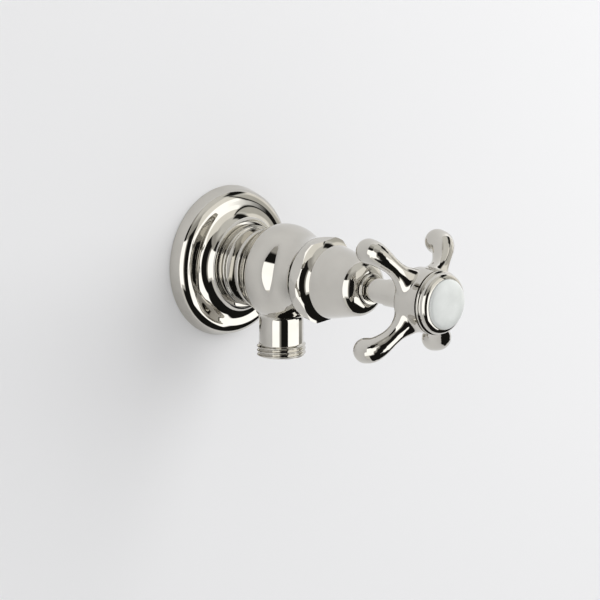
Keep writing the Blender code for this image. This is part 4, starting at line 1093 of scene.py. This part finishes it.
class VALVE_OT_studio(bpy.types.Operator):
    """Set up the wall, the soft studio light and the camera"""

    bl_idname = "valve.studio"
    bl_label = "Studio"

    def execute(self, context):
        scene = context.scene
        scene.view_settings.view_transform = "Standard"
        self.make_wall(scene.valve_colours.wall)
        self.make_camera(scene)
        self.make_light()
        self.make_surroundings(scene)
        return {"FINISHED"}

    def make_wall(self, colour):
        deselect()
        bpy.ops.mesh.primitive_plane_add(
            size=WALL_SIZE, location=(0.0, WALL_SETBACK, 0.0), rotation=(pi / 2, 0.0, 0.0)
        )
        wall = bpy.context.object
        wall.name = "wall"
        material, tree, shader = new_material("painted_wall", colour, roughness=0.9)
        behind = add_node(tree, "ShaderNodeNewGeometry")
        clear = add_node(tree, "ShaderNodeBsdfTransparent")
        mix = add_node(tree, "ShaderNodeMixShader")
        tree.links.new(behind.outputs["Backfacing"], mix.inputs[0])
        tree.links.new(shader.outputs[0], mix.inputs[1])
        tree.links.new(clear.outputs[0], mix.inputs[2])
        tree.links.new(mix.outputs[0], tree.nodes["Material Output"].inputs["Surface"])
        wall.data.materials.append(material)

    def make_camera(self, scene):
        azimuth, elevation = radians(CAMERA_AZIMUTH), radians(CAMERA_ELEVATION)
        back = Vector((sin(azimuth) * cos(elevation), -cos(azimuth) * cos(elevation), sin(elevation)))
        right = Vector((cos(azimuth), sin(azimuth), 0.0))
        up = back.cross(right)
        middle = PHOTO_SIZE / 2
        ray = (ANCHOR_PIXEL[0] - middle) / FOCAL_PIXELS * right
        ray -= (ANCHOR_PIXEL[1] - middle) / FOCAL_PIXELS * up + back
        data = bpy.data.cameras.new("camera")
        data.sensor_width = SENSOR
        data.lens = FOCAL_PIXELS / PHOTO_SIZE * SENSOR
        data.clip_start, data.clip_end = 0.05, 20.0
        camera = bpy.data.objects.new("camera", data)
        turn = Matrix((right, up, back)).transposed().to_4x4()
        camera.matrix_world = Matrix.Translation(ANCHOR - ray * CAMERA_DISTANCE) @ turn
        scene.collection.objects.link(camera)
        scene.camera = camera

    def make_light(self):
        data = bpy.data.lights.new("soft_key", "AREA")
        data.shape = "DISK"
        data.size = LAMP_SIZE
        data.energy = LAMP_WATTS
        lamp = bpy.data.objects.new("soft_key", data)
        turn = LAMP_PLACE.to_track_quat("Z", "Y").to_matrix().to_4x4()
        lamp.matrix_world = Matrix.Translation(LAMP_PLACE) @ turn
        lamp.visible_glossy = False
        bpy.context.scene.collection.objects.link(lamp)

    def make_surroundings(self, scene):
        """The screens for glossy rays, a plain fill light for matt surfaces and white for the camera."""
        world = bpy.data.worlds.new("studio")
        world.use_nodes = True
        scene.world = world
        tree = world.node_tree
        tree.nodes.clear()
        direction = add_node(tree, "ShaderNodeTexCoord").outputs["Generated"]
        azimuth = radians(CAMERA_AZIMUTH)
        towards = (sin(azimuth), -cos(azimuth), 0.0)
        right = (cos(azimuth), sin(azimuth), 0.0)

        def calculate(operation, first, second=0.0):
            node = add_node(tree, "ShaderNodeMath", {"operation": operation}, {0: first, 1: second})
            return node.outputs[0]

        def along(axis):
            settings = {"operation": "DOT_PRODUCT"}
            node = add_node(tree, "ShaderNodeVectorMath", settings, {0: direction, 1: axis})
            return node.outputs["Value"]

        turn = calculate("MULTIPLY", calculate("ARCTAN2", along(right), along(towards)), 180 / pi)
        rise = calculate("MULTIPLY", calculate("ARCSINE", along((0.0, 0.0, 1.0))), 180 / pi)

        def step(value, place, soft, before, after):
            inputs = {"Value": value, "From Min": place - soft, "From Max": place + soft}
            inputs |= {"To Min": before, "To Max": after}
            return add_node(tree, "ShaderNodeMapRange", {"clamp": True}, inputs).outputs["Result"]

        def window(value, low, high, soft):
            opened = step(value, low, soft, 0.0, 1.0)
            closed = step(value, high, soft, 1.0, 0.0)
            return calculate("MULTIPLY", opened, closed)

        shade = add_node(tree, "ShaderNodeRGB")
        shade.outputs[0].default_value = (*ROOM, 1.0)
        colour = shade.outputs[0]
        for low, high, bottom, top, soft, panel in SCREENS:
            mask = calculate("MULTIPLY", window(turn, low, high, soft), window(rise, bottom, top, soft))
            mix = add_node(tree, "ShaderNodeMix", {"data_type": "RGBA"}, {"Factor": mask})
            tree.links.new(colour, mix.inputs["A"])
            mix.inputs["B"].default_value = (*panel, 1.0)
            colour = mix.outputs["Result"]

        def background(shade, strength):
            inputs = {"Color": shade, "Strength": strength}
            return add_node(tree, "ShaderNodeBackground", inputs=inputs).outputs[0]

        def chosen(ray, otherwise, light):
            inputs = {0: rays.outputs[ray], 1: otherwise, 2: light}
            return add_node(tree, "ShaderNodeMixShader", inputs=inputs).outputs[0]

        rays = add_node(tree, "ShaderNodeLightPath")
        white = (1.0, 1.0, 1.0, 1.0)
        light = chosen("Is Glossy Ray", background(white, FILL_STRENGTH), background(colour, 1.0))
        seen = chosen("Is Camera Ray", light, background(white, 1.0))
        add_node(tree, "ShaderNodeOutputWorld", inputs={"Surface": seen})


class VALVE_PT_panel(bpy.types.Panel):
    """The valve's pieces, colours and studio"""

    bl_idname = "VALVE_PT_panel"
    bl_label = "Angle valve"
    bl_space_type = "VIEW_3D"
    bl_region_type = "UI"
    bl_category = "Angle valve"

    def draw(self, context):
        for group in (context.scene.valve_colours, context.scene.valve_sizes):
            for name in group.__annotations__:
                self.layout.prop(group, name)
        for operator in OPERATORS:
            self.layout.operator(operator.bl_idname)


OPERATORS = (
    VALVE_OT_materials,
    VALVE_OT_escutcheon,
    VALVE_OT_neck,
    VALVE_OT_ball,
    VALVE_OT_outlet_thread,
    VALVE_OT_bonnet,
    VALVE_OT_stem,
    VALVE_OT_handle,
    VALVE_OT_button,
    VALVE_OT_studio,
)
CLASSES = (ValveColours, ValveSizes, *OPERATORS, VALVE_PT_panel)


def register():
    for cls in CLASSES:
        bpy.utils.register_class(cls)
    bpy.types.Scene.valve_colours = bpy.props.PointerProperty(type=ValveColours)
    bpy.types.Scene.valve_sizes = bpy.props.PointerProperty(type=ValveSizes)


def unregister():
    del bpy.types.Scene.valve_sizes
    del bpy.types.Scene.valve_colours
    for cls in reversed(CLASSES):
        bpy.utils.unregister_class(cls)


def main():
    register()
    for thing in list(bpy.data.objects):
        if thing.name in ("Cube", "Light", "Camera"):
            bpy.data.objects.remove(thing, do_unlink=True)
    bpy.ops.valve.materials()
    bpy.ops.valve.escutcheon()
    bpy.ops.valve.neck()
    bpy.ops.valve.ball()
    bpy.ops.valve.outlet_thread()
    bpy.ops.valve.bonnet()
    bpy.ops.valve.stem()
    bpy.ops.valve.handle()
    bpy.ops.valve.button()
    bpy.ops.valve.studio()


if __name__ == "__main__":
    main()
